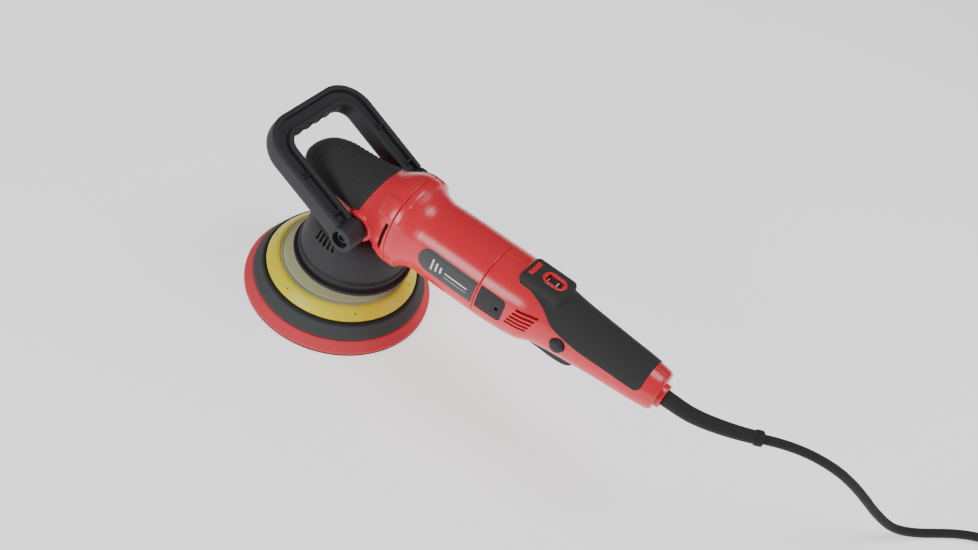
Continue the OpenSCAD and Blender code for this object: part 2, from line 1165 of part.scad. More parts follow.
gear_case();
head_cover();
head_grip_cap();
shroud();
upper_spindle_bearing();
lower_spindle_bearing();
gear_case_screws();
motor_housing();
stator_core();
field_coils();
front_armature_bearing();
rear_armature_bearing();
brush_holders();
carbon_brushes();
brush_springs();
brush_covers();
label_insets();
handle_shell_left();
handle_shell_right();
handle_screws();
grip_overlay();
dial_bezel();
indicator_lens();
control_board();
switch_body();
trigger_spring();
trigger_pin();
lock_spring();
cord_clamp();
cord_guard();
handle_bosses();
handle_bolts();
armature_shaft();
armature_core();
armature_windings();
commutator();
cooling_fan();
pinion();
spindle();
crown_gear();
eccentric_carrier();
counterweight();
eccentric_bearings();
pad_shaft();
plate_hub();
hub_disc();
backing_plate();
plate_rim();
cushion_foam();
hook_layer();
polishing_pad();
pad_face_layer();
front_handle();
trigger();
lock_button();
speed_dial();
power_cord();
cord_coil();
cord_tie();
plug();
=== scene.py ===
"""Visual model of a dual action polisher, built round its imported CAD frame.

Sizes are in millimetres in the machine's own frame: the origin is on the spindle's axis at
the pad's working face, +X runs to the rear, +Z is up. Meshes are scaled to metres as they
are made.
"""
import json
import logging
import math
from dataclasses import dataclass, field
from enum import Enum
from typing import Callable, Iterable, Sequence

import bmesh
import bpy
import numpy as np
from mathutils import Matrix, Vector


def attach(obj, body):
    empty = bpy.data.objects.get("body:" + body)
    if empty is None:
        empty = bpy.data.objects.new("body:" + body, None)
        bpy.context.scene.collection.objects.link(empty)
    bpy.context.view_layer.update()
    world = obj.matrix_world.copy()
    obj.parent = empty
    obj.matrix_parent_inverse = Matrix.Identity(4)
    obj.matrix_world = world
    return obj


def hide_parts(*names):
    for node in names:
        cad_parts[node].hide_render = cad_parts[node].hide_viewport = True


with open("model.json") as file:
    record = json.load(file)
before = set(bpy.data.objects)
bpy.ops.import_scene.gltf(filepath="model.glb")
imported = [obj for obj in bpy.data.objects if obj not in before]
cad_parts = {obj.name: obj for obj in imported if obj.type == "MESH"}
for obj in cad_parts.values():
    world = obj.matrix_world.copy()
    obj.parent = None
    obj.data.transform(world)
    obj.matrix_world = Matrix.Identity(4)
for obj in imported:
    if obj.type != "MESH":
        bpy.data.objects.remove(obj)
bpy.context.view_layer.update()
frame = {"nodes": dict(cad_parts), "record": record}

MM = 0.001
LOG = logging.getLogger("polisher")
Grid = np.ndarray
Outline = Sequence[tuple[float, float]]

# An edge sharper than this, in degrees, stays sharp.
SHARP_ANGLE = 38.0
# The front handle's pivot and the lock button, as (x, z), and the gear case flange's centre.
PIVOT = (17.0, 113.5)
LOCK_AT = (205.0, 127.0)
FLANGE_Z = 121.0
# Shares of a close-set stretch at the ends of a patch, where its edge is rounded.
CLOSE_SET = np.array([0, 0.06, 0.2, 0.42, 0.7])


class Body(str, Enum):
    """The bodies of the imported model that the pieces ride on."""

    HOUSING = "housing"
    PAD = "pad"
    BAIL = "bail"
    TRIGGER = "trigger"
    LOCK = "lock"
    DIAL = "dial"


class Side(Enum):
    """The two sides of the machine, as signs of Y."""

    NEAR = -1.0
    FAR = 1.0

    @property
    def turn(self) -> float:
        """Returns the sign of the skin's angles on this side."""
        return -self.value


# --- Finishes ---


class Texture(Enum):
    """How a finish's surface is broken up."""

    GRAIN = "grain"
    FOAM = "foam"
    BRUSHED = "brushed"
    FABRIC = "fabric"


@dataclass
class Nodes:
    """A material's nodes while they are laid out."""

    tree: bpy.types.NodeTree

    def add(self, kind: str, values: dict[str, object] | None = None,
            **links: bpy.types.NodeSocket) -> bpy.types.Node:
        """Adds a node.

        Args:
            kind: Its type, without the leading ShaderNode.
            values: Values of its inputs.
            **links: Sockets that feed its inputs.

        Returns:
            The node.
        """
        node = self.tree.nodes.new(f"ShaderNode{kind}")
        for name, value in (values or {}).items():
            node.inputs[name].default_value = value
        for name, socket in links.items():
            self.tree.links.new(socket, node.inputs[name])
        return node


@dataclass(frozen=True)
class Finish:
    """One surface finish, made as a procedural material.

    Colours are linear RGB. The texture sizes are in millimetres.
    """

    name: str
    colour: tuple[float, float, float]
    roughness: float
    texture: Texture = Texture.GRAIN
    grain_mm: float = 0.35
    bump: float = 0.12
    mottle: float = 0.06
    mottle_mm: float = 22.0
    metallic: float = 0.0
    coat: float = 0.0
    coat_roughness: float = 0.12
    sheen: float = 0.0
    edge_wear: float = 0.0
    shine: float = 0.5
    rough_spread: float = 0.05
    wear_from: float = 0.53
    wear_to: float = 0.62
    brushing: tuple[float, float, float] = (1.0, 14.0, 14.0)

    def material(self) -> bpy.types.Material:
        """Returns the material of this finish, made on first use."""
        found = bpy.data.materials.get(self.name)
        if found is not None:
            return found
        material = bpy.data.materials.new(self.name)
        material.use_nodes = True
        nodes = Nodes(material.node_tree)
        shader = nodes.tree.nodes["Principled BSDF"]
        for name, value in (
            ("Metallic", self.metallic), ("Coat Weight", self.coat),
            ("Coat Roughness", self.coat_roughness), ("Sheen Weight", self.sheen),
            ("Specular IOR Level", self.shine),
        ):
            shader.inputs[name].default_value = value
        place = nodes.add("TexCoord").outputs["Object"]
        for name, socket in (
            ("Base Color", self._paint(nodes, place)), ("Roughness", self._rough(nodes, place)),
            ("Normal", self._relief(nodes, place)),
        ):
            nodes.tree.links.new(socket, shader.inputs[name])
        return material

    def _noise(self, nodes: Nodes, place: bpy.types.NodeSocket, size_mm: float,
               detail: float) -> bpy.types.NodeSocket:
        """Adds a noise texture.

        Args:
            nodes: The material's nodes.
            place: The texture coordinates.
            size_mm: Size of the noise's features.
            detail: Octaves of the noise.

        Returns:
            The noise's height.
        """
        values = {"Scale": 1.0 / (size_mm * MM), "Detail": detail}
        return nodes.add("TexNoise", values, Vector=place).outputs["Fac"]

    def _paint(self, nodes: Nodes, place: bpy.types.NodeSocket) -> bpy.types.NodeSocket:
        """Returns the colour, varied by broad noise and lightened where it is worn.

        Args:
            nodes: The material's nodes.
            place: The texture coordinates.
        """
        ramp = nodes.add("ValToRGB", Fac=self._noise(nodes, place, self.mottle_mm, 4.0))
        for element, spot, sign in zip(ramp.color_ramp.elements, (0.3, 0.7), (-1, 1)):
            element.position = spot
            element.color = (*[min(1.0, c * (1.0 + sign * self.mottle)) for c in self.colour],
                             1.0)
        colour = ramp.outputs["Color"]
        return self._worn(nodes, colour) if self.edge_wear > 0.0 else colour

    def _worn(self, nodes: Nodes, colour: bpy.types.NodeSocket) -> bpy.types.NodeSocket:
        """Lightens the colour along edges, where handling polishes the surface.

        Args:
            nodes: The material's nodes.
            colour: The colour before wear.

        Returns:
            The worn colour.
        """
        values = {"From Min": self.wear_from, "From Max": self.wear_to,
                  "To Max": self.edge_wear}
        edge = nodes.add("MapRange", values,
                         Value=nodes.add("NewGeometry").outputs["Pointiness"])
        mix = nodes.add("Mix")
        mix.data_type = "RGBA"
        mix.inputs["B"].default_value = (*[min(1.0, c * 1.6 + 0.05) for c in self.colour], 1.0)
        nodes.tree.links.new(edge.outputs["Result"], mix.inputs["Factor"])
        nodes.tree.links.new(colour, mix.inputs["A"])
        return mix.outputs["Result"]

    def _rough(self, nodes: Nodes, place: bpy.types.NodeSocket) -> bpy.types.NodeSocket:
        """Returns the roughness, varied by fine noise.

        Args:
            nodes: The material's nodes.
            place: The texture coordinates.
        """
        values = {"To Min": max(0.02, self.roughness - self.rough_spread),
                  "To Max": min(1.0, self.roughness + self.rough_spread)}
        fine = self._noise(nodes, place, self.grain_mm * 6.0, 3.0)
        return nodes.add("MapRange", values, Value=fine).outputs["Result"]

    def _relief(self, nodes: Nodes, place: bpy.types.NodeSocket) -> bpy.types.NodeSocket:
        """Returns the normal, bumped by the finish's texture.

        Args:
            nodes: The material's nodes.
            place: The texture coordinates.
        """
        if self.texture in (Texture.FOAM, Texture.FABRIC):
            size = self.grain_mm * (2.4 if self.texture is Texture.FOAM else 1.6)
            cells = nodes.add("TexVoronoi", {"Scale": 1.0 / (size * MM)}, Vector=place)
            if self.texture is Texture.FABRIC:
                cells.feature = "SMOOTH_F1"
            height = cells.outputs["Distance"]
        elif self.texture is Texture.BRUSHED:
            stretch = nodes.add("Mapping", {"Scale": self.brushing}, Vector=place)
            height = self._noise(nodes, stretch.outputs["Vector"], self.grain_mm * 6.0, 2.0)
        else:
            height = self._noise(nodes, place, self.grain_mm, 2.0)
        values = {"Strength": self.bump, "Distance": self.grain_mm * MM}
        return nodes.add("Bump", values, Height=height).outputs["Normal"]


class Finishes:
    """The machine's finishes, by the record's material slots."""

    RED = Finish("red_housing", (0.78, 0.002, 0.009), 0.34, bump=0.10, mottle=0.04,
                 edge_wear=0.3, shine=0.22)
    RUBBER = Finish("black_rubber", (0.0065, 0.007, 0.007), 0.42, grain_mm=0.3, bump=0.18,
                    mottle=0.12, edge_wear=0.25, shine=0.42)
    BLACK = Finish("black_plastic", (0.006, 0.0062, 0.0065), 0.36, grain_mm=0.45, bump=0.16,
                   mottle=0.12, edge_wear=0.3, shine=0.42)
    LENS = Finish("red_lens", (0.85, 0.008, 0.02), 0.16, bump=0.02, mottle=0.03, coat=0.6)
    CAST = Finish("cast_aluminium", (0.42, 0.43, 0.44), 0.48, grain_mm=0.8, bump=0.3,
                  metallic=1.0)
    STEEL = Finish("steel", (0.42, 0.42, 0.43), 0.28, Texture.BRUSHED, grain_mm=0.2,
                   mottle=0.08, mottle_mm=8.0, metallic=1.0)
    LAMINATION = Finish("lamination_steel", (0.16, 0.17, 0.18), 0.42, Texture.BRUSHED,
                        grain_mm=0.25, bump=0.3, mottle=0.15, mottle_mm=6.0, metallic=1.0)
    COPPER = Finish("copper_winding", (0.50, 0.17, 0.05), 0.34, Texture.BRUSHED,
                    grain_mm=0.4, bump=0.5, mottle=0.2, mottle_mm=5.0, metallic=0.8)
    BRASS = Finish("brass", (0.60, 0.38, 0.10), 0.3, Texture.BRUSHED, grain_mm=0.2,
                   bump=0.1, mottle=0.1, mottle_mm=6.0, metallic=1.0)
    CARBON = Finish("carbon", (0.03, 0.03, 0.032), 0.6, bump=0.25, grain_mm=0.2)
    BOARD = Finish("circuit_board", (0.01, 0.10, 0.03), 0.4, bump=0.1, coat=0.3)
    IRON = Finish("cast_iron", (0.09, 0.09, 0.095), 0.45, grain_mm=0.6, bump=0.3,
                  metallic=0.9)
    YELLOW = Finish("yellow_plate", (1.0, 0.74, 0.0), 0.4, bump=0.06, mottle=0.05,
                    edge_wear=0.2, shine=0.15)
    CREAM = Finish("cream_plate", (0.70, 0.68, 0.32), 0.45, bump=0.05, mottle=0.06, shine=0.35)
    RING = Finish("black_ring", (0.006, 0.006, 0.006), 0.8, Texture.FABRIC, grain_mm=0.5,
                  bump=0.5, mottle=0.2, mottle_mm=9.0)
    GREY_FOAM = Finish("grey_foam", (0.026, 0.027, 0.028), 0.85, Texture.FOAM,
                       grain_mm=0.22, bump=0.35, mottle=0.12, mottle_mm=14.0, sheen=0.15)
    RED_FOAM = Finish("red_foam", (0.66, 0.008, 0.018), 0.85, Texture.FOAM,
                      grain_mm=0.4, bump=0.6, mottle=0.1, mottle_mm=18.0, sheen=0.2)
    CORD = Finish("cord_rubber", (0.005, 0.005, 0.0055), 0.3, bump=0.05, grain_mm=0.3,
                  mottle=0.1)
    PLUG = Finish("plug_plastic", (0.014, 0.014, 0.014), 0.42, bump=0.15)
    BADGE = Finish("black_plastic_badge", (0.022, 0.023, 0.024), 0.3, grain_mm=0.2,
                   bump=0.05, coat=0.3)
    BOLT = Finish("steel_blackened", (0.07, 0.07, 0.075), 0.38, metallic=1.0, bump=0.1)
    PRINT = Finish("white_print", (0.80, 0.80, 0.80), 0.45, bump=0.03)
    # Flat black that paints the shade inside the exhaust slot.
    PAINTED_SHADE = Finish("shadow_black", (0.003, 0.003, 0.003), 0.7)

    BY_SLOT = {
        finish.name: finish
        for finish in (RED, RUBBER, BLACK, LENS, CAST, STEEL, LAMINATION, COPPER, BRASS,
                       CARBON, BOARD, IRON, YELLOW, CREAM, RING, GREY_FOAM, RED_FOAM, CORD,
                       PLUG)
    }


# --- Mesh making ---


def smooth_curve(xs: Sequence[float], ys: Sequence[float], x: np.ndarray) -> np.ndarray:
    """Evaluates a monotone cubic through the points.

    Args:
        xs: Increasing places of the points.
        ys: Values at the points.
        x: Where to evaluate the curve.

    Returns:
        The curve's values, held constant beyond its ends.
    """
    xs_a, ys_a = np.asarray(xs, float), np.asarray(ys, float)
    gaps = np.diff(xs_a)
    slope = np.diff(ys_a) / gaps
    tangent = np.zeros(len(xs_a))
    same = slope[:-1] * slope[1:] > 0
    weight_a, weight_b = 2 * gaps[1:] + gaps[:-1], gaps[1:] + 2 * gaps[:-1]
    safe = np.where(same, slope[:-1] * slope[1:], 1.0)
    mean = (weight_a + weight_b) * safe / (weight_a * slope[1:] + weight_b * slope[:-1] + 1e-12)
    tangent[1:-1] = np.where(same, mean, 0.0)
    tangent[0], tangent[-1] = slope[0], slope[-1]
    held = np.clip(x, xs_a[0], xs_a[-1])
    index = np.clip(np.searchsorted(xs_a, held) - 1, 0, len(gaps) - 1)
    gap = gaps[index]
    t = (held - xs_a[index]) / gap
    start = (1 + 2 * t) * (1 - t) ** 2 * ys_a[index] + t * (1 - t) ** 2 * gap * tangent[index]
    end = t**2 * (3 - 2 * t) * ys_a[index + 1] + t**2 * (t - 1) * gap * tangent[index + 1]
    return start + end


def rounded(points: Outline, radius: float | Sequence[float],
            steps: int = 4) -> list[tuple[float, float]]:
    """Rounds the corners of a closed outline.

    Args:
        points: The outline's corners.
        radius: One length of rounding for all corners, or one for each.
        steps: Points on each round.

    Returns:
        The rounded outline.
    """
    corners = [np.array(p, float) for p in points]
    count = len(corners)
    radii = [radius] * count if isinstance(radius, (int, float)) else list(radius)
    made: list[tuple[float, float]] = []
    for i, corner in enumerate(corners):
        if radii[i] <= 0:
            made.append((float(corner[0]), float(corner[1])))
            continue
        before, after = corners[i - 1] - corner, corners[(i + 1) % count] - corner
        reach = min(radii[i], np.linalg.norm(before) * 0.48, np.linalg.norm(after) * 0.48)
        first = corner + before / np.linalg.norm(before) * reach
        last = corner + after / np.linalg.norm(after) * reach
        for k in range(steps + 1):
            t = k / steps
            point = (1 - t) ** 2 * first + 2 * t * (1 - t) * corner + t**2 * last
            made.append((float(point[0]), float(point[1])))
    return made


def grid_faces(rows: int, cols: int, wrap_rows: bool = False, wrap_cols: bool = False,
               start: int = 0) -> list[tuple[int, int, int, int]]:
    """Returns the quads of a grid of points laid out row by row.

    Args:
        rows: Rows of points.
        cols: Points in each row.
        wrap_rows: Whether the last row joins the first.
        wrap_cols: Whether each row is a ring.
        start: Index of the grid's first point.

    Returns:
        The quads as point indices.
    """
    faces = []
    for i in range(rows if wrap_rows else rows - 1):
        for j in range(cols if wrap_cols else cols - 1):
            below, right = (i + 1) % rows, (j + 1) % cols
            faces.append((start + i * cols + j, start + i * cols + right,
                          start + below * cols + right, start + below * cols + j))
    return faces


def linked(name: str, data: bpy.types.ID) -> bpy.types.Object:
    """Returns a new object of the data, linked to the scene.

    Args:
        name: The object's name.
        data: Its mesh, curve, camera or light.
    """
    made = bpy.data.objects.new(name, data)
    bpy.context.scene.collection.objects.link(made)
    return made


def moved(points: np.ndarray, place: Matrix) -> np.ndarray:
    """Returns points put in place.

    Args:
        points: N x 3 points.
        place: The placing matrix, in the points' unit.
    """
    turn = np.array(place)
    return points @ turn[:3, :3].T + turn[:3, 3]


def around(centre: Sequence[float], radius: float, angle: float) -> tuple[float, float]:
    """Returns a point of a circle.

    Args:
        centre: The circle's centre.
        radius: The circle's radius.
        angle: The point's angle in radians.
    """
    return centre[0] + radius * math.cos(angle), centre[1] + radius * math.sin(angle)


def make_object(name: str, points: np.ndarray, faces: Iterable[Sequence[int]],
                sharp: float = SHARP_ANGLE) -> bpy.types.Object:
    """Makes a mesh object from points in millimetres.

    Args:
        name: The object's name.
        points: N x 3 points.
        faces: Faces as point indices.
        sharp: Angle in degrees above which an edge stays sharp.

    Returns:
        The new object, linked to the scene.
    """
    mesh = bpy.data.meshes.new(name)
    mesh.from_pydata((np.asarray(points, float).reshape(-1, 3) * MM).tolist(), [], list(faces))
    work = bmesh.new()
    work.from_mesh(mesh)
    bmesh.ops.remove_doubles(work, verts=work.verts, dist=0.004 * MM)
    bmesh.ops.dissolve_degenerate(work, edges=work.edges, dist=0.002 * MM)
    bmesh.ops.recalc_face_normals(work, faces=work.faces)
    work.to_mesh(mesh)
    work.free()
    mesh.shade_smooth()
    mesh.set_sharp_from_angle(angle=math.radians(sharp))
    return linked(name, mesh)


def joined(name: str, pieces: Sequence[bpy.types.Object]) -> bpy.types.Object:
    """Joins objects into one.

    Args:
        name: The joined object's name.
        pieces: Objects at the origin, which are used up.

    Returns:
        The joined object.
    """
    work = bmesh.new()
    for piece in pieces:
        work.from_mesh(piece.data)
    mesh = bpy.data.meshes.new(name)
    work.to_mesh(mesh)
    work.free()
    for piece in pieces:
        bpy.data.objects.remove(piece)
    return linked(name, mesh)


def lathe(name: str, outline: Outline, centre: tuple[float, float, float] = (0, 0, 0),
          axis: str = "Z", segments: int = 128, closed: bool = True) -> bpy.types.Object:
    """Turns an outline of (radius, height) round an axis.

    Args:
        name: The object's name.
        outline: Points of (radius, height along the axis).
        centre: Where height 0 of the axis is.
        axis: "X", "Y" or "Z".
        segments: Steps round the axis.
        closed: Whether the outline is a closed loop.

    Returns:
        The turned object.
    """
    ring = np.asarray(outline, float)
    turn = np.linspace(0, 2 * math.pi, segments, endpoint=False)
    flat = {"Z": (0, 1, 2), "X": (1, 2, 0), "Y": (2, 0, 1)}[axis]
    points = np.zeros((segments, len(ring), 3))
    points[:, :, flat[0]] = ring[None, :, 0] * np.cos(turn)[:, None]
    points[:, :, flat[1]] = ring[None, :, 0] * np.sin(turn)[:, None]
    points[:, :, flat[2]] = ring[None, :, 1]
    points += np.array(centre, float)
    return make_object(name, points, grid_faces(segments, len(ring), True, closed))


def side_lathe(name: str, corners: Outline, radii: float | Sequence[float], side: Side,
               segments: int) -> bpy.types.Object:
    """Turns a rounded outline round the front handle's pivot, on one side of the machine.

    Args:
        name: The object's name.
        corners: Points of (radius, distance from the middle plane).
        radii: Rounding of the corners.
        side: The side that it is on.
        segments: Steps round the axis.

    Returns:
        The turned object.
    """
    outline = [(r, h * side.value) for r, h in rounded(corners, radii)]
    return lathe(name, outline, (PIVOT[0], 0, PIVOT[1]), "Y", segments)


def sweep(name: str, path: np.ndarray, section: Callable[[int, float], np.ndarray],
          sideways: tuple[float, float, float]) -> bpy.types.Object:
    """Sweeps a closed section along a path in the plane square to sideways.

    Args:
        name: The object's name.
        path: N x 3 points in millimetres.
        section: Gives the section's points as (outward, sideways) for a row and its share
            of the path's length.
        sideways: The direction that the section's second number runs along.

    Returns:
        The swept object, closed at both ends.
    """
    way = np.gradient(path, axis=0)
    way /= np.linalg.norm(way, axis=1)[:, None]
    lengths = np.r_[0, np.cumsum(np.linalg.norm(np.diff(path, axis=0), axis=1))]
    across = np.asarray(sideways, float)
    rows = []
    for i, point in enumerate(path):
        side = across - (across @ way[i]) * way[i]
        side /= np.linalg.norm(side)
        out = np.cross(way[i], side)
        shape = section(i, lengths[i] / lengths[-1])
        rows.append(point + shape[:, :1] * out + shape[:, 1:] * side)
    count = len(rows[0])
    faces = grid_faces(len(rows), count, False, True)
    faces.append(tuple(range(count))[::-1])
    faces.append(tuple((len(rows) - 1) * count + j for j in range(count)))
    return make_object(name, np.array(rows), faces)


def circle(radius: float, count: int) -> np.ndarray:
    """Returns a circle's points as (outward, sideways).

    Args:
        radius: The circle's radius.
        count: Points on the circle.
    """
    turn = np.linspace(0, 2 * math.pi, count, endpoint=False)
    return np.c_[np.cos(turn), np.sin(turn)] * radius


def slab(name: str, outline: Outline, thickness: float, place: Matrix | None = None,
         sharp: float = SHARP_ANGLE) -> bpy.types.Object:
    """Makes a plate from an outline in XY, from z = 0 up to its thickness.

    Args:
        name: The object's name.
        outline: Corner points in millimetres.
        thickness: The plate's thickness.
        place: Where it goes, in millimetres.
        sharp: Angle in degrees above which an edge stays sharp.

    Returns:
        The plate.
    """
    flat = np.asarray(outline, float)
    count = len(flat)
    points = np.r_[np.c_[flat, np.zeros(count)], np.c_[flat, np.full(count, thickness)]]
    if place is not None:
        points = moved(points, place)
    faces = [tuple(range(count))[::-1], tuple(range(count, 2 * count))]
    faces += [(j, (j + 1) % count, count + (j + 1) % count, count + j) for j in range(count)]
    return make_object(name, points, faces, sharp)


def placed(x: float, y: float, z: float, turn: Sequence[tuple[float, str]] = ()) -> Matrix:
    """Returns a placing matrix in millimetres.

    Args:
        x: Place along X.
        y: Place along Y.
        z: Place along Z.
        turn: Turns in degrees about axes, the last one applied first.
    """
    made = Matrix.Translation((x, y, z))
    for angle, axis in turn:
        made = made @ Matrix.Rotation(math.radians(angle), 4, axis)
    return made


def bevel(obj: bpy.types.Object, width: float, segments: int = 3, angle: float = 40.0) -> None:
    """Adds a bevel on sharp edges.

    Args:
        obj: The object to bevel.
        width: Width of the bevel in millimetres.
        segments: Steps of the bevel.
        angle: Least angle in degrees of an edge that is bevelled.
    """
    added = obj.modifiers.new("edge_round", "BEVEL")
    added.width = width * MM
    added.segments = segments
    added.limit_method = "ANGLE"
    added.angle_limit = math.radians(angle)


def carve(obj: bpy.types.Object, cutter: bpy.types.Object) -> None:
    """Cuts one object out of another and removes the cutter.

    Args:
        obj: The object that is cut.
        cutter: The object that is cut away.
    """
    added = obj.modifiers.new("carve", "BOOLEAN")
    added.operation = "DIFFERENCE"
    added.solver = "EXACT"
    added.object = cutter
    bpy.context.view_layer.update()
    shape = obj.evaluated_get(bpy.context.evaluated_depsgraph_get())
    mesh = bpy.data.meshes.new_from_object(shape)
    obj.modifiers.remove(added)
    obj.data = mesh
    bpy.data.objects.remove(cutter)
    mesh.shade_smooth()
    mesh.set_sharp_from_angle(angle=math.radians(SHARP_ANGLE))


def dress(obj: bpy.types.Object, finish: Finish, body: Body, *replaced: str,
          slot: str | None = None) -> bpy.types.Object:
    """Gives a piece its finish, its body and the CAD nodes that it stands for.

    Args:
        obj: The piece.
        finish: Its finish.
        body: The body that it moves with.
        *replaced: CAD nodes that it stands for.
        slot: The record's material slot, if it isn't the finish's own name. Not used.

    Returns:
        The piece.
    """
    obj.data.materials.clear()
    obj.data.materials.append(finish.material())
    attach(obj, body.value)
    slot or finish.name
    if replaced:
        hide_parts(*replaced)
    LOG.info("piece %s on %s", obj.name, body.value)
    return obj


# --- The body's skin ---


@dataclass
class Skin:
    """Outer skin of a stretch of the body, as rounded sections along X.

    A point of the skin is named by x and by an angle that is 0 at the top and grows towards
    the near side.
    """

    stations: Sequence[tuple[float, float, float, float, float]]
    nose_x: float | None = None
    nose_reach: float = 36.5
    nose_drop: float = 2.0
    nose_power: float = 2.35
    pad_blend: float = 3.0
    furthest: float = 70.0
    halvings: int = 26
    angle_halvings: int = 30
    pad: Callable[[np.ndarray], np.ndarray] | None = None

    def section(self, x: np.ndarray) -> tuple[np.ndarray, ...]:
        """Returns the half width, centre height, half height and power of the sections at x.

        Args:
            x: Places along X in millimetres.
        """
        xs = [s[0] for s in self.stations]
        wide, top, low, power = (
            smooth_curve(xs, [s[k] for s in self.stations], x) for k in (1, 2, 3, 4)
        )
        middle, high = (top + low) / 2, (top - low) / 2
        if self.nose_x is not None:
            into = np.clip((self.nose_x - x) / self.nose_reach, 0.0, 0.99999)
            close = (1 - into**self.nose_power) ** (1 / self.nose_power)
            wide, high = wide * close, high * close
            middle = middle - self.nose_drop * into**2
        return wide, middle, high, power

    def _field(self, points: np.ndarray) -> np.ndarray:
        """Returns a value that is negative inside the skin and positive outside.

        Args:
            points: N x 3 points.
        """
        wide, middle, high, power = self.section(points[:, 0])
        ratio = (np.abs(points[:, 1] / wide) ** power
                 + np.abs((points[:, 2] - middle) / high) ** power) ** (1 / power)
        value = (ratio - 1) * np.minimum(wide, high)
        if self.pad is not None:
            other = self.pad(points)
            h = np.clip(0.5 + 0.5 * (other - value) / self.pad_blend, 0, 1)
            value = other * (1 - h) + value * h - self.pad_blend * h * (1 - h)
        return value

    def at(self, x: np.ndarray, angle: np.ndarray) -> np.ndarray:
        """Returns the skin's points.

        Args:
            x: Places along X in millimetres.
            angle: Angles in radians, of the same shape.

        Returns:
            The points, with one more axis of length 3.
        """
        shape = x.shape
        xf, af = x.ravel(), angle.ravel()
        _, middle, _, _ = self.section(xf)
        way = np.c_[np.zeros(len(xf)), -np.sin(af), np.cos(af)]
        base = np.c_[xf, np.zeros(len(xf)), middle]
        near, far = np.zeros(len(xf)), np.full(len(xf), self.furthest)
        for _ in range(self.halvings):
            half = (near + far) / 2
            inside = self._field(base + way * half[:, None]) < 0
            near = np.where(inside, half, near)
            far = np.where(inside, far, half)
        return (base + way * ((near + far) / 2)[:, None]).reshape(*shape, 3)

    def angle_at_height(self, x: np.ndarray, height: np.ndarray | float) -> np.ndarray:
        """Returns the angle at which the near side of the skin passes a height.

        Args:
            x: Places along X.
            height: One height, or one for each place.
        """
        low, high = np.zeros(len(x)), np.full(len(x), math.pi)
        for _ in range(self.angle_halvings):
            half = (low + high) / 2
            above = self.at(x, half)[:, 2] > height
            low = np.where(above, half, low)
            high = np.where(above, high, half)
        return (low + high) / 2


def surface_normals(grid: Grid) -> Grid:
    """Returns the unit normals of a grid of points, pointing away from the body's axis.

    Args:
        grid: rows x cols x 3 points.
    """
    along, across = np.gradient(grid, axis=0), np.gradient(grid, axis=1)
    normal = np.cross(along, across)
    normal /= np.linalg.norm(normal, axis=2)[:, :, None] + 1e-9
    middle = grid.mean(axis=(0, 1))
    outward = np.einsum("ijk,ijk->ij", normal, grid - middle).sum()
    return normal if outward > 0 else -normal


def edge_distance(grid: Grid) -> np.ndarray:
    """Returns each grid point's distance to the nearest edge of the grid, along its lines.

    Args:
        grid: rows x cols x 3 points.
    """
    rows = np.linalg.norm(np.diff(grid, axis=0), axis=2)
    cols = np.linalg.norm(np.diff(grid, axis=1), axis=2)
    down = np.concatenate([np.zeros((1, grid.shape[1])), np.cumsum(rows, axis=0)])
    right = np.concatenate([np.zeros((grid.shape[0], 1)), np.cumsum(cols, axis=1)], axis=1)
    ends = [down, down[-1:] - down, right, right[:, -1:] - right]
    return np.minimum.reduce([np.broadcast_to(e, down.shape) for e in ends])


def quarter_round(share: np.ndarray) -> np.ndarray:
    """Returns the height of a quarter circle of radius 1.

    Args:
        share: Distance from the quarter circle's foot, from 0 to 1.
    """
    return np.sqrt(np.clip(1 - (1 - share) ** 2, 0, 1))


def closed_shell(name: str, outer: Grid, inner: Grid, ring: bool) -> bpy.types.Object:
    """Joins two grids of points into a closed shell.

    Args:
        name: The shell's name.
        outer: Points of its outer face.
        inner: Points of its inner face.
        ring: Whether the shell goes all the way round.

    Returns:
        The shell.
    """
    rows, cols = outer.shape[:2]
    total = rows * cols
    faces = grid_faces(rows, cols, False, ring) + grid_faces(rows, cols, False, ring, total)
    first, last = list(range(cols)), [total - cols + j for j in range(cols)]
    if ring:
        rim = [first + first[:1], last + last[:1]]
    else:
        columns = [[i * cols + j for i in range(rows)] for j in (0, cols - 1)]
        rim = [*columns, first, last]
    for line in rim:
        faces += [(a, b, b + total, a + total) for a, b in zip(line, line[1:])]
    return make_object(name, np.r_[outer.reshape(-1, 3), inner.reshape(-1, 3)], faces)


def eased(count: int, ends: float) -> np.ndarray:
    """Returns numbers from 0 to 1 that are closer together at both ends.

    Args:
        count: How many in the middle.
        ends: Share of the range that each close-set end takes.
    """
    close = ends * CLOSE_SET
    return np.r_[close, np.linspace(ends, 1 - ends, count), (1 - close)[::-1]]


@dataclass
class Patch:
    """A moulded skin laid on the body, with a rounded edge and its own thickness."""

    name: str
    skin: Skin
    xs: np.ndarray
    start: np.ndarray
    end: np.ndarray
    proud: float = 0.0
    roll: float = 1.2
    sunk: float = 0.5
    thickness: float = 2.4
    cols: int = 90
    ends: float = 0.02
    relief: Callable[[Grid, np.ndarray], np.ndarray] | None = None
    straight: bool = False

    def build(self) -> bpy.types.Object:
        """Returns the patch as a closed shell."""
        across = eased(self.cols, self.ends)
        angles = self.start[:, None] + (self.end - self.start)[:, None] * across[None, :]
        places = np.broadcast_to(self.xs[:, None], angles.shape)
        base = self.skin.at(places, angles)
        normal = surface_normals(base)
        distance = edge_distance(base)
        lift = np.full(distance.shape, self.proud)
        if self.roll > 0:
            round_off = quarter_round(np.clip(distance / self.roll, 0, 1))
            lift = -self.sunk + (self.proud + self.sunk) * round_off
        if self.relief is not None:
            lift = lift + self.relief(base, distance)
        outer = base + normal * lift[:, :, None]
        inward = normal
        if self.straight:
            none = np.zeros(angles.shape)
            inward = np.stack([none, -np.sin(angles), np.cos(angles)], axis=2)
        return closed_shell(self.name, outer, base - inward * self.thickness, False)


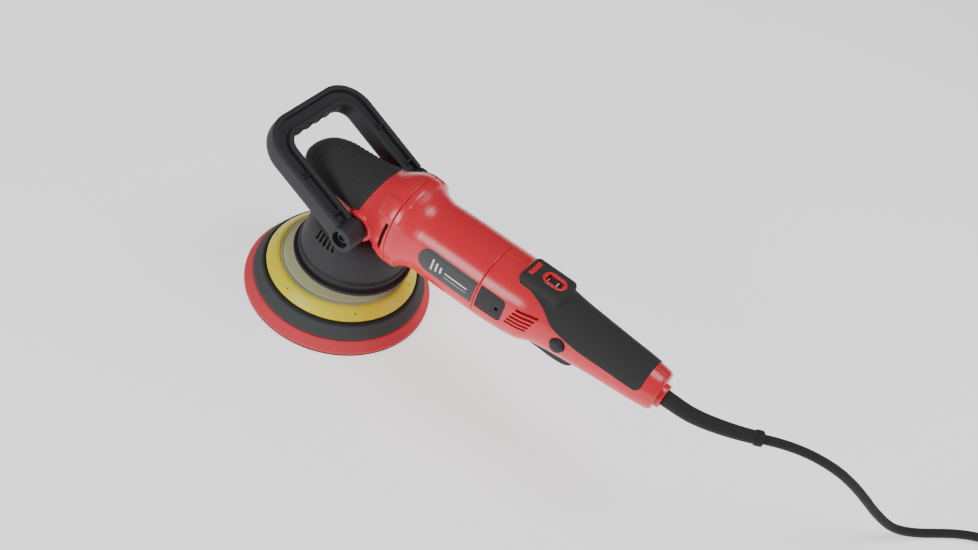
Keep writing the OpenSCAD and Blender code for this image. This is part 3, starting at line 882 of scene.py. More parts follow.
@dataclass
class LeaningPatch(Patch):
    """A patch whose rear edge leans forward towards its sides."""

    lean: float = 0.0

    def build(self) -> bpy.types.Object:
        """Returns the patch as a closed shell."""
        plain = self.skin.at
        first, last = self.xs[0], self.xs[-1]
        half = np.maximum(np.abs(self.start), 1e-6)

        def leaning(x: np.ndarray, angle: np.ndarray) -> np.ndarray:
            """Returns skin points, moved forward near the rear corners."""
            share = (x - first) / (last - first)
            aside = np.clip(np.abs(angle) / half[:, None], 0, 1)
            return plain(x - self.lean * share**5 * aside**1.6, angle)

        self.skin = SkinView(leaning)
        return super().build()


@dataclass
class SkinView:
    """A skin seen through another way of naming its points."""

    at: Callable[[np.ndarray, np.ndarray], np.ndarray]


@dataclass
class Sleeve:
    """A moulded shell that goes all the way round the body."""

    name: str
    skin: Skin
    xs: np.ndarray
    roll: float = 0.8
    roll_depth: float = 0.7
    thickness: float = 3.0
    cols: int = 160
    relief: Callable[[Grid, np.ndarray], np.ndarray] | None = None

    def build(self) -> bpy.types.Object:
        """Returns the sleeve as a closed shell."""
        turn = np.linspace(0, 2 * math.pi, self.cols, endpoint=False)
        angles = np.broadcast_to(turn[None, :], (len(self.xs), self.cols))
        places = np.broadcast_to(self.xs[:, None], angles.shape)
        base = self.skin.at(places, angles)
        wide = np.concatenate([base[:, -1:], base, base[:, :1]], axis=1)
        normal = surface_normals(wide)[:, 1:-1]
        ends = np.minimum(self.xs - self.xs[0], self.xs[-1] - self.xs)
        share = np.clip(ends / self.roll, 0, 1)
        lift = (quarter_round(share) - 1)[:, None] * self.roll * self.roll_depth
        lift = np.broadcast_to(lift, angles.shape)
        if self.relief is not None:
            lift = lift + self.relief(base, angles)
        outer = base + normal * lift[:, :, None]
        inner = base - normal * self.thickness
        inner[:, :, 0] = base[:, :, 0]
        return closed_shell(self.name, outer, inner, True)


def step(value: np.ndarray, low: float, high: float) -> np.ndarray:
    """Returns a smooth rise from 0 at low to 1 at high.

    Args:
        value: Where to take the rise.
        low: Start of the rise.
        high: End of the rise.
    """
    t = np.clip((value - low) / (high - low), 0, 1)
    return t * t * (3 - 2 * t)


def stations_between(first: float, last: float, count: int, extra: Sequence[float] = (),
                     ends: float = 0.9) -> np.ndarray:
    """Returns places from first to last that are closer together at both ends.

    Args:
        first: First place in millimetres.
        last: Last place.
        count: How many evenly spaced places.
        extra: More places to include.
        ends: Length of the close-set stretch at each end.
    """
    close = ends * CLOSE_SET
    middle = np.linspace(first + ends, last - ends, count)
    return np.unique(np.round(np.r_[first + close, middle, last - close, extra], 4))


def span_with_round_ends(x: np.ndarray, first: float, last: float, low: float, high: float,
                         radii: tuple[float, float]) -> tuple[np.ndarray, np.ndarray]:
    """Returns the lower and upper edge of a label-like outline along x.

    Args:
        x: Places along the outline.
        first: Its front end.
        last: Its rear end.
        low: Its lower edge.
        high: Its upper edge.
        radii: Corner radius at the front and at the rear.
    """
    drop = np.zeros(len(x))
    for end, radius, sign in ((first, radii[0], 1), (last, radii[1], -1)):
        into = np.clip(radius - sign * (x - end), 0, radius)
        drop = np.maximum(drop, radius - np.sqrt(np.maximum(radius**2 - into**2, 0)))
    return low + drop, high - drop


# --- Cord ---


@dataclass
class CordSet:
    """The free cord from the guard's lip to its plug, put away in a tied coil."""

    diameter: float = 8.0
    route: Sequence[tuple[float, float, float]] = (
        (367, 27, 119.5), (380, 35.5, 118), (393, 44, 115), (406, 52.5, 110), (418, 61, 103),
        (430, 70, 94), (441, 79, 83), (451, 88, 71), (461, 97, 58), (470, 106, 45),
        (479, 115, 33), (488, 124, 22), (497, 133, 13.5), (507, 143, 8), (518, 154, 5),
        (530, 166, 4), (542, 177, 4), (555, 187, 4), (568, 194.5, 4), (584, 202, 4),
        (600, 209, 4), (608, 212.5, 4),
    )
    centre: tuple[float, float] = (616.0, 262.0)
    turns: Sequence[tuple[float, float]] = (
        (52, 4), (44, 4), (36, 4), (36, 12), (44, 12), (52, 12), (52, 20), (44, 20), (36, 20),
    )
    start_angle: float = -99.2
    coil_height: float = 24.0
    plug_turn: float = 45.0
    plug_radius: float = 44.0
    plug_axis: float = 8.6
    neck_length: float = 18.0
    declared_m: float = 2.9
    shift: tuple[float, float] = (0.68, 0.98)
    entry: float = 1.9
    entry_share: float = 0.2
    steps: int = 36
    tail_steps: int = 14

    def coil(self) -> list[tuple[float, float, float]]:
        """Returns the points of the coil's turns and of the tail up to the plug."""
        points = []
        for index, (radius, height) in enumerate(self.turns):
            follow = self.turns[min(index + 1, len(self.turns) - 1)]
            for k in range(self.steps):
                share = k / self.steps
                move = float(step(np.array(share), *self.shift))
                entry = 0.0
                if index == 0:
                    entry = self.entry * float(1 - step(np.array(share), 0.0, self.entry_share))
                r = radius + (follow[0] - radius) * move - entry
                z = height + (follow[1] - height) * move
                angle = math.radians(self.start_angle + 360 * (index + share))
                points.append((*around(self.centre, r, angle), z))
        return points[1:] + self._tail()

    def _tail(self) -> list[tuple[float, float, float]]:
        """Returns the points from the last turn up into the plug."""
        radius, height = self.turns[-1]
        rear = math.degrees(math.atan2(self.neck_length, self.plug_radius))
        last = self.plug_turn - rear
        first = self.start_angle
        end_radius = math.hypot(self.neck_length, self.plug_radius)
        tail = []
        for k in range(self.tail_steps + 1):
            share = k / self.tail_steps
            rise = float(step(np.array(share), 0.15, 0.95))
            r = radius + (end_radius - radius) * rise
            z = height + (self.coil_height + self.plug_axis - height) * rise
            angle = math.radians(first + (last - first) * share)
            tail.append((*around(self.centre, r, angle), z))
        return tail

    def centreline(self) -> np.ndarray:
        """Returns the cord's centreline in millimetres, smoothed through its points."""
        points = np.array([*self.route, *self.coil()], float)
        padded = np.r_[points[:1] * 2 - points[1:2], points, points[-1:] * 2 - points[-2:-1]]
        made = []
        for i in range(1, len(padded) - 2):
            a, b, c, d = padded[i - 1 : i + 3]
            for t in (0.0, 0.25, 0.5, 0.75):
                made.append(0.5 * (2 * b + (c - a) * t + (2 * a - 5 * b + 4 * c - d) * t**2
                                   + (3 * b - a - 3 * c + d) * t**3))
        made.append(points[-1])
        return np.array(made)

    def build(self) -> None:
        line = self.centreline()
        curve = bpy.data.curves.new("power_cord_flex", "CURVE")
        curve.dimensions = "3D"
        curve.bevel_depth = self.diameter / 2 * MM
        curve.bevel_resolution = 4
        curve.use_fill_caps = True
        spline = curve.splines.new("POLY")
        spline.points.add(len(line) - 1)
        for point, place in zip(spline.points, line * MM):
            point.co = (*place, 1.0)
        spline.use_smooth = True
        flex = linked("power_cord_flex", curve)
        dress(flex, Finishes.CORD, Body.HOUSING, "power_cord", "cord_coil")
        plug = self._plug()
        tie = self._tie()
        exit_m = tuple(v * MM for v in self.route[0])

    def _plug_place(self) -> Matrix:
        """Returns the plug's placing matrix: its own +X points to its pins."""
        return (placed(*self.centre, self.coil_height, [(self.plug_turn, "Z")])
                @ placed(self.plug_radius, 0, 0, [(90, "Z")]))

    def _plug(self) -> list[bpy.types.Object]:
        """Returns the plug's body and its pins."""
        place = self._plug_place()
        outline = rounded([(-6, -9.5), (-6, 9.5), (2, 11.8), (12, 11.8), (12, -11.8),
                           (2, -11.8)], [3, 3, 5, 2, 2, 5])
        body = slab("plug_body", outline, 16.6, place @ placed(0, 0, 0.3))
        bevel(body, 1.6, 4)
        neck_path = np.array([[-self.neck_length + 1.1 * k, 0, self.plug_axis] for k in range(13)])

        def neck_section(row: int, share: float) -> np.ndarray:
            """Returns the ribbed neck's section."""
            rib = 0.5 if row % 3 == 1 else 0.0
            return circle(4.7 + 2.4 * share + rib, 28)

        neck = sweep("plug_neck", moved(neck_path, place), neck_section,
                     tuple(np.array(place)[:3, 1]))
        pins = []
        for offset in (-6.35, 6.35):
            outline = rounded([(10, -3.1), (10, 3.1), (28, 3.1), (29, 2.2), (29, -2.2),
                               (28, -3.1)], 0.8)
            blade = slab("blade", outline, 1.4,
                         place @ placed(0, offset + 0.7, self.plug_axis, [(90, "X")]))
            pins.append(blade)
        dress(body, Finishes.PLUG, Body.HOUSING, "plug")
        dress(neck, Finishes.PLUG, Body.HOUSING)
        blades = joined("plug_pins", pins)
        bevel(blades, 0.25, 2)
        dress(blades, Finishes.BRASS, Body.HOUSING)
        return [body, neck, blades]

    def _tie(self) -> bpy.types.Object:
        """Returns the band that holds the coil's turns together."""
        inner = rounded([(31.4, 0.0), (56.6, 0.0), (56.6, 24.4), (31.4, 24.4)], 4.0)
        outer = rounded([(30.6, 0.0), (57.4, 0.0), (57.4, 25.3), (30.6, 25.3)], 4.6)
        inner = [(x, max(z, 0.8)) for x, z in inner]
        rows = []
        for y in (-4.0, 4.0):
            rows += [[(x, y, z) for x, z in ring] for ring in (outer, inner)]
        count = len(outer)
        faces = []
        for a, b in ((0, 1), (1, 3), (3, 2), (2, 0)):
            faces += [(a * count + j, a * count + (j + 1) % count,
                       b * count + (j + 1) % count, b * count + j) for j in range(count)]
        points = np.array(rows).reshape(-1, 3)
        place = placed(*self.centre, 0, [(135, "Z")])
        band = make_object("coil_tie", moved(points, place), faces)
        bevel(band, 0.3, 2)
        return dress(band, Finishes.RING, Body.HOUSING, "cord_tie", slot="black_plastic")


@dataclass
class CordGuard:
    """The tapered rubber guard where the cord leaves the handle."""

    route: Sequence[tuple[float, float, float]] = (
        (282, 0, 124), (290, 0, 124), (302, 0, 124), (312, 0.5, 124), (322, 3, 123.5),
        (334, 8, 122.5), (346, 14, 121.5), (357, 20.5, 120.5), (367, 27, 119.5),
    )
    root_radius: float = 6.8
    tip_radius: float = 5.3
    lip_radius: float = 6.4
    lip_length: float = 5.0

    def build(self) -> None:
        """Builds the guard with the lip at its end."""
        knots = np.array(self.route, float)
        along = np.r_[0, np.cumsum(np.linalg.norm(np.diff(knots, axis=0), axis=1))]
        places = stations_between(0, along[-1], 60, (along[-1] - self.lip_length,
                                                     along[-1] - self.lip_length + 0.5))
        path = np.stack([smooth_curve(along, knots[:, k], places) for k in range(3)], axis=1)

        def section(row: int, share: float) -> np.ndarray:
            """Returns the guard's section."""
            left = (1 - share) * along[-1]
            radius = self.root_radius + (self.tip_radius - self.root_radius) * share
            if left < self.lip_length:
                radius = self.lip_radius
            return circle(radius - (0.5 if left < 0.1 else 0.0), 36)

        guard = sweep("cord_guard_rubber", path, section, (0, 0, 1))
        dress(guard, Finishes.CORD, Body.HOUSING, "cord_guard")


# --- Head ---


def flange_lugs(base: Grid, edges: tuple[float, float]) -> np.ndarray:
    """Returns the height of the four screw lugs on the flange.

    Args:
        base: Points of the skin.
        edges: Where along X the lugs run.
    """
    angle = np.degrees(np.arctan2(-base[:, :, 1], base[:, :, 2] - FLANGE_Z))
    lift = np.zeros(angle.shape)
    for centre in (-135, -45, 45, 135):
        off = np.abs((angle - centre + 180) % 360 - 180)
        lift = np.maximum(lift, 1 - step(off, 12.5, 15.0))
    window = step(base[:, :, 0], edges[0] - 1.2, edges[0]) * (
        1 - step(base[:, :, 0], edges[1], edges[1] + 1.2))
    return lift * window


@dataclass
class Head:
    """The gear head: red cover, ribbed rubber cap, boss collars and black shroud."""

    seam_x: float = 47.0
    cap_edge: float = 123.5
    cap_rear: float = 19.5
    cap_lean: float = 7.0
    rib_pitch: float = 4.4
    rib_height: float = 0.42
    cover_half: float = 2.72
    lugs: tuple[float, float] = (33.0, 60.0)
    slot_x: tuple[float, float] = (41.2, 44.4)
    slot_radii: tuple[float, float] = (31.0, 46.0)
    rim_holes: int = 26
    rim_circle: float = 49.4
    vents: int = 5
    vent_pitch: float = 6.6
    vent_z: float = 73.5
    skin: Skin = field(default_factory=lambda: Skin(
        stations=(
            (-25, 28, 143.6, 95, 2.1), (0, 28.6, 147.2, 91, 2.05), (20, 30, 152.8, 88.4, 2.0),
            (30, 33.2, 158.6, 86.4, 2.0), (38, 36.4, 162.4, 83.6, 2), (43, 37.5, 163.5, 81.8, 2),
            (47, 37.6, 163.6, 81.4, 2),
        ),
        nose_x=-25.0,
    ))

    def build(self) -> None:
        """Builds every piece of the head."""
        self._cover()
        self._cap()
        self._collars()
        self._shroud()

    def _nose_stations(self, last: float, count: int) -> np.ndarray:
        """Returns places from the nose's tip to last, closer together at the tip.

        Args:
            last: Last place in millimetres.
            count: Places on the nose and on the rest, each.
        """
        turn = np.linspace(0.004, math.pi / 2, count)
        tip = self.skin.nose_x - self.skin.nose_reach * np.cos(turn)
        return np.unique(np.r_[tip, stations_between(self.skin.nose_x, last, count)[1:]])

    def _cover(self) -> None:
        """Builds the red head cover with its exhaust slot, and a dark sheet of painted shade inside
        the slot.
        """
        xs = self._nose_stations(self.seam_x - 0.25, 46)
        half = np.full(len(xs), self.cover_half)

        def relief(base: Grid, distance: np.ndarray) -> np.ndarray:
            """Returns the lugs' height."""
            return flange_lugs(base, self.lugs)

        cover = Patch("head_cover_shell", self.skin, xs, -half, half, roll=0.7, thickness=3.0,
                      cols=170, ends=0.006, relief=relief).build()
        carve(cover, self._slot())
        dress(cover, Finishes.RED, Body.HOUSING, "head_cover")
        # Painted shade: a dark sheet inside the exhaust slot stands for the shadow there, so the
        # gear case's light flange doesn't show through.
        inside = np.linspace(38.5, 46.4, 8)
        top, bottom = np.full(8, math.radians(50)), np.full(8, math.radians(112))
        slot_shade = Patch("exhaust_slot_painted_shade", self.skin, inside, top, bottom, proud=-3.4, roll=0.0,
                      thickness=3.9, cols=24).build()
        dress(slot_shade, Finishes.PAINTED_SHADE, Body.HOUSING, slot="black_plastic")

    def _slot(self) -> bpy.types.Object:
        """Returns the cutter of the exhaust slot on the near side."""
        turn = np.radians(np.linspace(-14, 28, 15))
        (front, rear), (near, far) = self.slot_x, self.slot_radii
        rows = []
        for angle in turn:
            for radius, x in ((near, front), (far, front), (far, rear), (near, rear)):
                rows.append((x + 0.04 * math.degrees(angle), -radius * math.cos(angle),
                             FLANGE_Z + radius * math.sin(angle)))
        faces = grid_faces(len(turn), 4, False, True)
        faces.append((0, 1, 2, 3))
        faces.append(tuple(len(rows) - 4 + j for j in range(4))[::-1])
        return make_object("slot_cutter", np.array(rows), faces)

    def _cap(self) -> None:
        """Builds the ribbed rubber cap over the head."""
        tip = self.skin.nose_x - self.skin.nose_reach
        xs = self._nose_stations(self.cap_rear, 74)
        xs = xs[xs > tip + 0.6]
        edge = self.cap_edge + 3.0 * step(xs, 4, 22) + 4.0 * step(-xs, 26, 50)
        half = self.skin.angle_at_height(xs, edge)

        def relief(base: Grid, distance: np.ndarray) -> np.ndarray:
            """Returns the ribs' height."""
            inside = step(distance, 6.5, 9.0) * step(base[:, :, 0], -50, -42)
            wave = 0.5 + 0.5 * np.cos(2 * math.pi * (base[:, :, 0] + 0.05 * base[:, :, 1] ** 2
                                                    / 6) / self.rib_pitch)
            return -self.rib_height * inside * (1 - wave**2) - 0.25 * inside

        cap = LeaningPatch("head_cap_rubber", self.skin, xs, -half, half, proud=1.1, roll=2.2,
                           sunk=0.4, thickness=1.0, cols=150, ends=0.012, relief=relief,
                           lean=self.cap_lean).build()
        dress(cap, Finishes.RUBBER, Body.HOUSING, "head_grip_cap")

    def _collars(self) -> None:
        """Builds the raised red collars round the handle's bosses."""
        corners = [(9.7, 24), (14.6, 24), (13.8, 31.5), (13.0, 33.2), (9.7, 33.2)]
        for side in Side:
            collar = side_lathe(f"handle_collar_{side.name.lower()}", corners,
                                [0, 0, 2, 1.2, 0.5], side, 96)
            dress(collar, Finishes.RED, Body.HOUSING)

    def _shroud(self) -> None:
        """Builds the black shroud with its rim holes and its five short vents."""
        outline = rounded([
            (48.9, 47.5), (51.3, 47.5), (51.3, 49.7), (50.5, 50.4), (47.2, 50.8), (46.8, 51.6),
            (46.8, 53.0), (48.0, 53.6), (48.2, 55.4), (47.0, 57.0), (45.9, 58.0), (45.6, 61),
            (44.8, 66), (43.6, 72), (41.4, 79.5), (38.2, 86), (34.6, 90), (30, 91), (25.3, 91),
            (25.3, 88.6), (31, 88.2), (35.6, 84.6), (38.9, 78.2), (41.1, 71), (43.1, 62),
            (43.6, 55), (45.6, 50.4), (48.7, 49.3),
        ], 1.0, steps=3)
        shroud = lathe("shroud_moulding", outline, segments=192)
        cutters = []
        for k in range(self.rim_holes):
            hole = lathe("hole", [(0, 46), (0.8, 46), (0.8, 52), (0, 52)], segments=14,
                         closed=False)
            angle = 2 * math.pi * k / self.rim_holes
            x, y = around((0, 0), self.rim_circle, angle)
            hole.data.transform(Matrix.Translation((x * MM, y * MM, 0)))
            cutters.append(hole)
        outline = rounded([(-1.2, -4.6), (1.2, -4.6), (1.2, 4.6), (-1.2, 4.6)], 1.1)
        for k in range(self.vents):
            turn = -110.0 + self.vent_pitch * k
            place = (placed(0, 0, self.vent_z, [(turn, "Z"), (-14, "Y")])
                     @ placed(38, 0, 0, [(90, "Z"), (90, "X")]))
            cutters.append(slab("vent", outline, 16, place @ placed(0, 0, -8)))
        carve(shroud, joined("shroud_cutters", cutters))
        dress(shroud, Finishes.BLACK, Body.HOUSING, "shroud")


# --- Motor housing ---


@dataclass
class MotorHousing:
    """The red motor housing with its flange, neck and side labels."""

    first: float = 47.25
    last: float = 130.75
    axis: float = 122.5
    lugs: tuple[float, float] = (30.0, 53.4)
    label: tuple[float, float, float, float] = (75.2, 129.4, -5.6, 15.4)
    label_round: float = 10.4
    bars: int = 3
    bar_middle: float = 4.6
    lines: Sequence[tuple[float, float]] = ((3.9, 5.2), (0.6, 1.1))
    skin: Skin = field(default_factory=lambda: Skin(stations=(
        (47, 37.6, 163.6, 81.4, 2), (52, 37.2, 163.0, 81.6, 2), (54.4, 36.3, 161.6, 82.2, 2),
        (56.4, 34.8, 159.2, 84.0, 2.02), (60.5, 32.7, 156.0, 87.0, 2.08),
        (65, 31.5, 153.8, 89.4, 2.12), (71, 30.7, 152.7, 90.8, 2.16),
        (80, 30.7, 152.8, 91.4, 2.2), (95, 30.9, 153.2, 91.5, 2.2), (131, 31, 153.5, 91.5, 2.2),
    )))

    def build(self) -> None:
        """Builds the housing and the label insets on both sides."""
        xs = stations_between(self.first, self.last, 90, np.arange(55, 74, 0.5))

        def relief(base: Grid, angles: np.ndarray) -> np.ndarray:
            """Returns the lugs' height."""
            return flange_lugs(base, self.lugs)

        shell = Sleeve("motor_housing_shell", self.skin, xs, relief=relief).build()
        dress(shell, Finishes.RED, Body.HOUSING, "motor_housing")
        for side in Side:
            self._label(side)

    def _label(self, side: Side) -> None:
        """Builds one dark label inset with a plain striped badge.

        Args:
            side: The side that it is on.
        """
        first, last, low, high = self.label
        front = np.linspace(0.12, math.pi / 2, 26)
        xs = np.unique(np.r_[first + self.label_round * (1 - np.cos(front)),
                             stations_between(first + 10.5, last, 40)])
        lower, upper = span_with_round_ends(xs, first, last, low, high,
                                            (self.label_round, 1.0))
        name = side.name.lower()
        label = Patch(f"label_{name}", self.skin, xs,
                      side.turn * self.skin.angle_at_height(xs, self.axis + upper),
                      side.turn * self.skin.angle_at_height(xs, self.axis + lower),
                      proud=0.22, roll=0.5, sunk=0.25, thickness=0.5, cols=40,
                      ends=0.03).build()
        dress(label, Finishes.BADGE, Body.HOUSING, "label_insets", slot="black_plastic")
        bars = []
        middle = self.axis + self.bar_middle
        for k in range(self.bars):
            start = 88 + 4.2 * k
            reach = 5.2 - 1.1 * k
            bars.append(self._stripe(side, np.linspace(start, start + 2.2, 8),
                                     (middle - reach, middle + reach), 0.2, 12))
        line_x = np.linspace(101, 124, 30)
        for low_z, high_z in self.lines:
            bars.append(self._stripe(side, line_x, (self.axis + low_z, self.axis + high_z),
                                     0.15, 6))
        badge = joined(f"badge_{name}", bars)
        dress(badge, Finishes.PRINT, Body.HOUSING, slot="black_plastic")

    def _stripe(self, side: Side, xs: np.ndarray, heights: tuple[float, float], roll: float,
                cols: int) -> bpy.types.Object:
        """Returns one white stripe of the badge.

        Args:
            side: The side that it is on.
            xs: Places along the stripe.
            heights: Its lower and upper edge.
            roll: Rounding of its edge.
            cols: Points across it.
        """
        low, high = (side.turn * self.skin.angle_at_height(xs, z) for z in heights)
        return Patch("stripe", self.skin, xs, high, low, proud=0.34, roll=roll, sunk=0.0,
                     thickness=0.3, cols=cols, ends=0.03).build()


# --- Rear handle ---


def dial_pad(points: np.ndarray) -> np.ndarray:
    """Returns the signed distance to the raised pad that carries the speed dial.

    Args:
        points: N x 3 points.
    """
    radius = 4.0
    reach = np.abs(points - np.array([172.0, 0, 150])) - (np.array([19.0, 14, 8]) - radius)
    outside = np.linalg.norm(np.maximum(reach, 0), axis=1)
    return outside + np.minimum(reach.max(axis=1), 0) - radius


def box_cutter(low: tuple[float, float, float],
               high: tuple[float, float, float]) -> bpy.types.Object:
    """Returns a cutter between two corners.

    Args:
        low: Lowest corner in millimetres.
        high: Highest corner.
    """
    outline = rounded([(low[0], low[1]), (high[0], low[1]), (high[0], high[1]),
                       (low[0], high[1])], 1.2)
    return slab("box_cutter", outline, high[2] - low[2], placed(0, 0, low[2]))


def oval(middle: float, reach: float, radius: float) -> list[tuple[float, float]]:
    """Returns the outline of an oval with straight sides on the middle line.

    Args:
        middle: Its middle along X.
        reach: Half the length of its straight sides.
        radius: Radius of its round ends.
    """
    count = 24
    return [around((middle + sign * reach, 0), radius, math.radians(first + 180 * k / count))
            for sign, first in ((1, -90), (-1, 90)) for k in range(count + 1)]


@dataclass
class RearHandle:
    """The rear handle: two red shells, the rubber overlay and what is set into them."""

    first: float = 131.25
    last: float = 287.9
    overlay_edge: Sequence[tuple[float, float]] = (
        (153, 151), (164, 151), (174, 149), (184, 145), (190, 141), (196, 137.5),
        (205, 135), (222, 132), (245, 131), (271, 130), (275, 131),
    )
    overlay_span: tuple[float, float] = (153.2, 275.0)
    overlay_rounds: tuple[float, float] = (4.5, 4.0)
    screws: Sequence[tuple[float, float]] = ((228, 114), (228, 140), (272, 136))
    cover_span: tuple[float, float] = (133.2, 156.8)
    cover_edges: tuple[float, float] = (117.2, 137.8)
    through: tuple[float, float] = (18.0, 40.0)
    slots: int = 5
    dial_x: float = 177.0
    bezel_reach: float = 3.5
    axis_z: float = 127.0
    guard_z: float = 124.0
    seam: float = 0.004
    skin: Skin = field(default_factory=lambda: Skin(stations=(
        (131, 31, 153.5, 91.5, 2.22), (150, 30.7, 153.9, 92.6, 2.2),
        (165, 29.9, 154.2, 94.3, 2.2), (172, 29.3, 154, 95.6, 2.15),
        (177, 28.1, 153.6, 98.0, 2.1), (186, 26.0, 152.4, 101.0, 2.1),
        (197, 24.3, 150.8, 102.2, 2.1), (240, 20.8, 147.5, 106.2, 2.1),
        (284, 17.3, 144.2, 109.8, 2.05), (286.5, 16.6, 143.6, 110.4, 2),
        (288, 15.2, 142.2, 111.8, 2),
    ), pad=dial_pad))

    def build(self) -> None:
        """Builds every piece of the rear handle."""
        for side in Side:
            self._shell(side)
            self._brush_cover(side)
        self._overlay()
        self._dial_surround()
        self._end()

    def _stations(self, first: float, last: float) -> np.ndarray:
        """Returns close-set places along the handle.

        Args:
            first: First place in millimetres.
            last: Last place.
        """
        near_pad = np.r_[np.arange(151.5, 159, 0.4), np.arange(186, 193, 0.4)]
        near_pad = near_pad[(near_pad > first + 0.5) & (near_pad < last - 0.5)]
        return stations_between(first, last, int((last - first) / 1.6), near_pad)

    def _shell(self, side: Side) -> None:
        """Builds one half of the handle's shell with its windows.

        Args:
            side: The side that it is on.
        """
        xs = self._stations(self.first, self.last)
        start = np.full(len(xs), self.seam * side.turn)
        end = np.full(len(xs), (math.pi - self.seam) * side.turn)
        name = "left" if side is Side.NEAR else "right"
        shell = Patch(f"handle_shell_{name}_moulding", self.skin, xs, start, end, roll=0.6,
                      sunk=0.35, thickness=2.2, cols=84, ends=0.008, straight=True).build()
        for cutter in self._windows(side):
            carve(shell, cutter)
        dress(shell, Finishes.RED, Body.HOUSING, f"handle_shell_{name}")

    def _windows(self, side: Side) -> list[bpy.types.Object]:
        """Returns the cutters of one shell.

        Args:
            side: The shell's side.
        """
        y0, y1 = sorted(side.value * y for y in self.through)
        made = [
            box_cutter((175.5, -8.9, 60), (220.5, 8.9, 114)),
            box_cutter((166.5, -7.2, 150), (187.5, 7.2, 170)),
        ]
        window = rounded([(133, 117), (157, 117), (157, 138), (133, 138)],
                         [1.0, 4.6, 4.6, 1.0])
        upright = placed(0, y1, 0, [(90, "X")])
        made.append(slab("brush_window", window, y1 - y0, upright))
        for k in range(self.slots):
            x, z = 160.2 + 1.3 * k, 121.0 + 3.7 * k
            slot = rounded([(x, z), (x + 18.5, z + 1.4), (x + 18.5, z + 3.5), (x, z + 2.1)], 1.0)
            made.append(slab("vent", slot, y1 - y0, upright))
        if side is Side.NEAR:
            made.append(lathe("lock_hole", [(0, -10), (6.6, -10), (6.6, -40), (0, -40)],
                              (LOCK_AT[0], 0, LOCK_AT[1]), "Y", 64, False))
        else:
            for x, z in self.screws:
                made.append(lathe("screw_hole", [(0, 8), (3.4, 8), (3.4, 40), (0, 40)],
                                  (x, 0, z), "Y", 40, False))
        return made

    def _overlay(self) -> None:
        """Builds the soft overlay on the handle's back."""
        first, last = self.overlay_span
        front, rear = self.overlay_rounds
        xs = self._stations(first, last)
        edge = smooth_curve(*zip(*self.overlay_edge), xs)
        for radius, off in ((rear, last - xs), (front, xs - first)):
            into = np.clip(radius - off, 0, radius)
            edge = edge + radius - np.sqrt(radius**2 - into**2)
        half = self.skin.angle_at_height(xs, edge)
        overlay = Patch("grip_overlay_rubber", self.skin, xs, -half, half, proud=0.55, roll=0.9,
                        sunk=0.35, thickness=1.3, cols=120, ends=0.012, straight=True).build()
        top = placed(0, 0, 150)
        carve(overlay, slab("bezel_cut", oval(self.dial_x, self.bezel_reach, 7.0), 20, top))
        carve(overlay, box_cutter((156.5, -8, 151), (161, 8, 170)))
        dress(overlay, Finishes.RUBBER, Body.HOUSING, "grip_overlay")

    def _dial_surround(self) -> None:
        """Builds the red bezel round the speed dial and the red indicator lens."""
        top = placed(0, 0, 155.2)
        bezel = slab("dial_bezel_ring", oval(self.dial_x, self.bezel_reach, 6.9), 3.9, top)
        carve(bezel, box_cutter((self.dial_x - 7, -4, 150), (self.dial_x + 7, 4, 170)))
        bevel(bezel, 0.5)
        dress(bezel, Finishes.RED, Body.HOUSING, "dial_bezel")
        outline = rounded([(156.7, -7.8), (160.8, -7.8), (160.8, 7.8), (156.7, 7.8)], 0.8)
        lens = slab("indicator_window", outline, 2.5, placed(0, 0, 156.4))
        bevel(lens, 0.6)
        dress(lens, Finishes.LENS, Body.HOUSING, "indicator_lens")

    def _brush_cover(self, side: Side) -> None:
        """Builds one brush cover with its screw hole.

        Args:
            side: The side that it is on.
        """
        xs = stations_between(*self.cover_span, 24)
        low, high = span_with_round_ends(xs, *self.cover_span, *self.cover_edges, (0.8, 3.4))
        top = side.turn * self.skin.angle_at_height(xs, high)
        bottom = side.turn * self.skin.angle_at_height(xs, low)

        def relief(base: Grid, distance: np.ndarray) -> np.ndarray:
            """Returns the depth of the finger notch at the rear edge."""
            notch = step(base[:, :, 0], 146.5, 148) * (
                1 - step(np.abs(base[:, :, 2] - self.axis_z), 2.8, 4.2))
            return -0.5 * notch * step(distance, 0.4, 1.4)

        name = side.name.lower()
        cover = Patch(f"brush_cover_{name}", self.skin, xs, top, bottom, proud=-0.15, roll=0.5,
                      cols=48, ends=0.025, relief=relief).build()
        near, far = (side.value * y for y in self.through)
        hole = [(0, near), (1.6, near), (1.6, far), (0, far)]
        carve(cover, lathe("hole", hole, (151, 0, self.axis_z), "Y", 28, False))
        dress(cover, Finishes.BLACK, Body.HOUSING, "brush_covers")

    def _end(self) -> None:
        """Builds the handle's end face, the guard's collar and the shell screws."""
        disc = lathe("handle_end", rounded([(0, -2.4), (15.4, -2.4), (15.4, 0.1), (0, 0.1)],
                                           [0, 0.4, 1.0, 0]), (287.8, 0, self.axis_z), "X", 96)
        dress(disc, Finishes.RED, Body.HOUSING)
        collar = lathe("guard_collar", rounded([(7.0, -2), (10, -2), (10, 4), (7.0, 4)],
                                               [0, 0, 1.3, 0.8]), (288, 0, self.guard_z), "X", 96)
        dress(collar, Finishes.RED, Body.HOUSING)
        heads = []
        for x, z in self.screws:
            outline = rounded([(0, 10.6), (1.5, 10.6), (1.5, 12.6), (2.9, 12.9), (3, 10.2),
                               (3, 8), (0, 8)], [0, 0.2, 0.2, 0.5, 0, 0, 0])
            heads.append(lathe("screw", outline, (x, 0, z), "Y", 40))
        screws = joined("handle_screw_heads", heads)
        dress(screws, Finishes.STEEL, Body.HOUSING, "handle_screws")


# --- Front handle ---


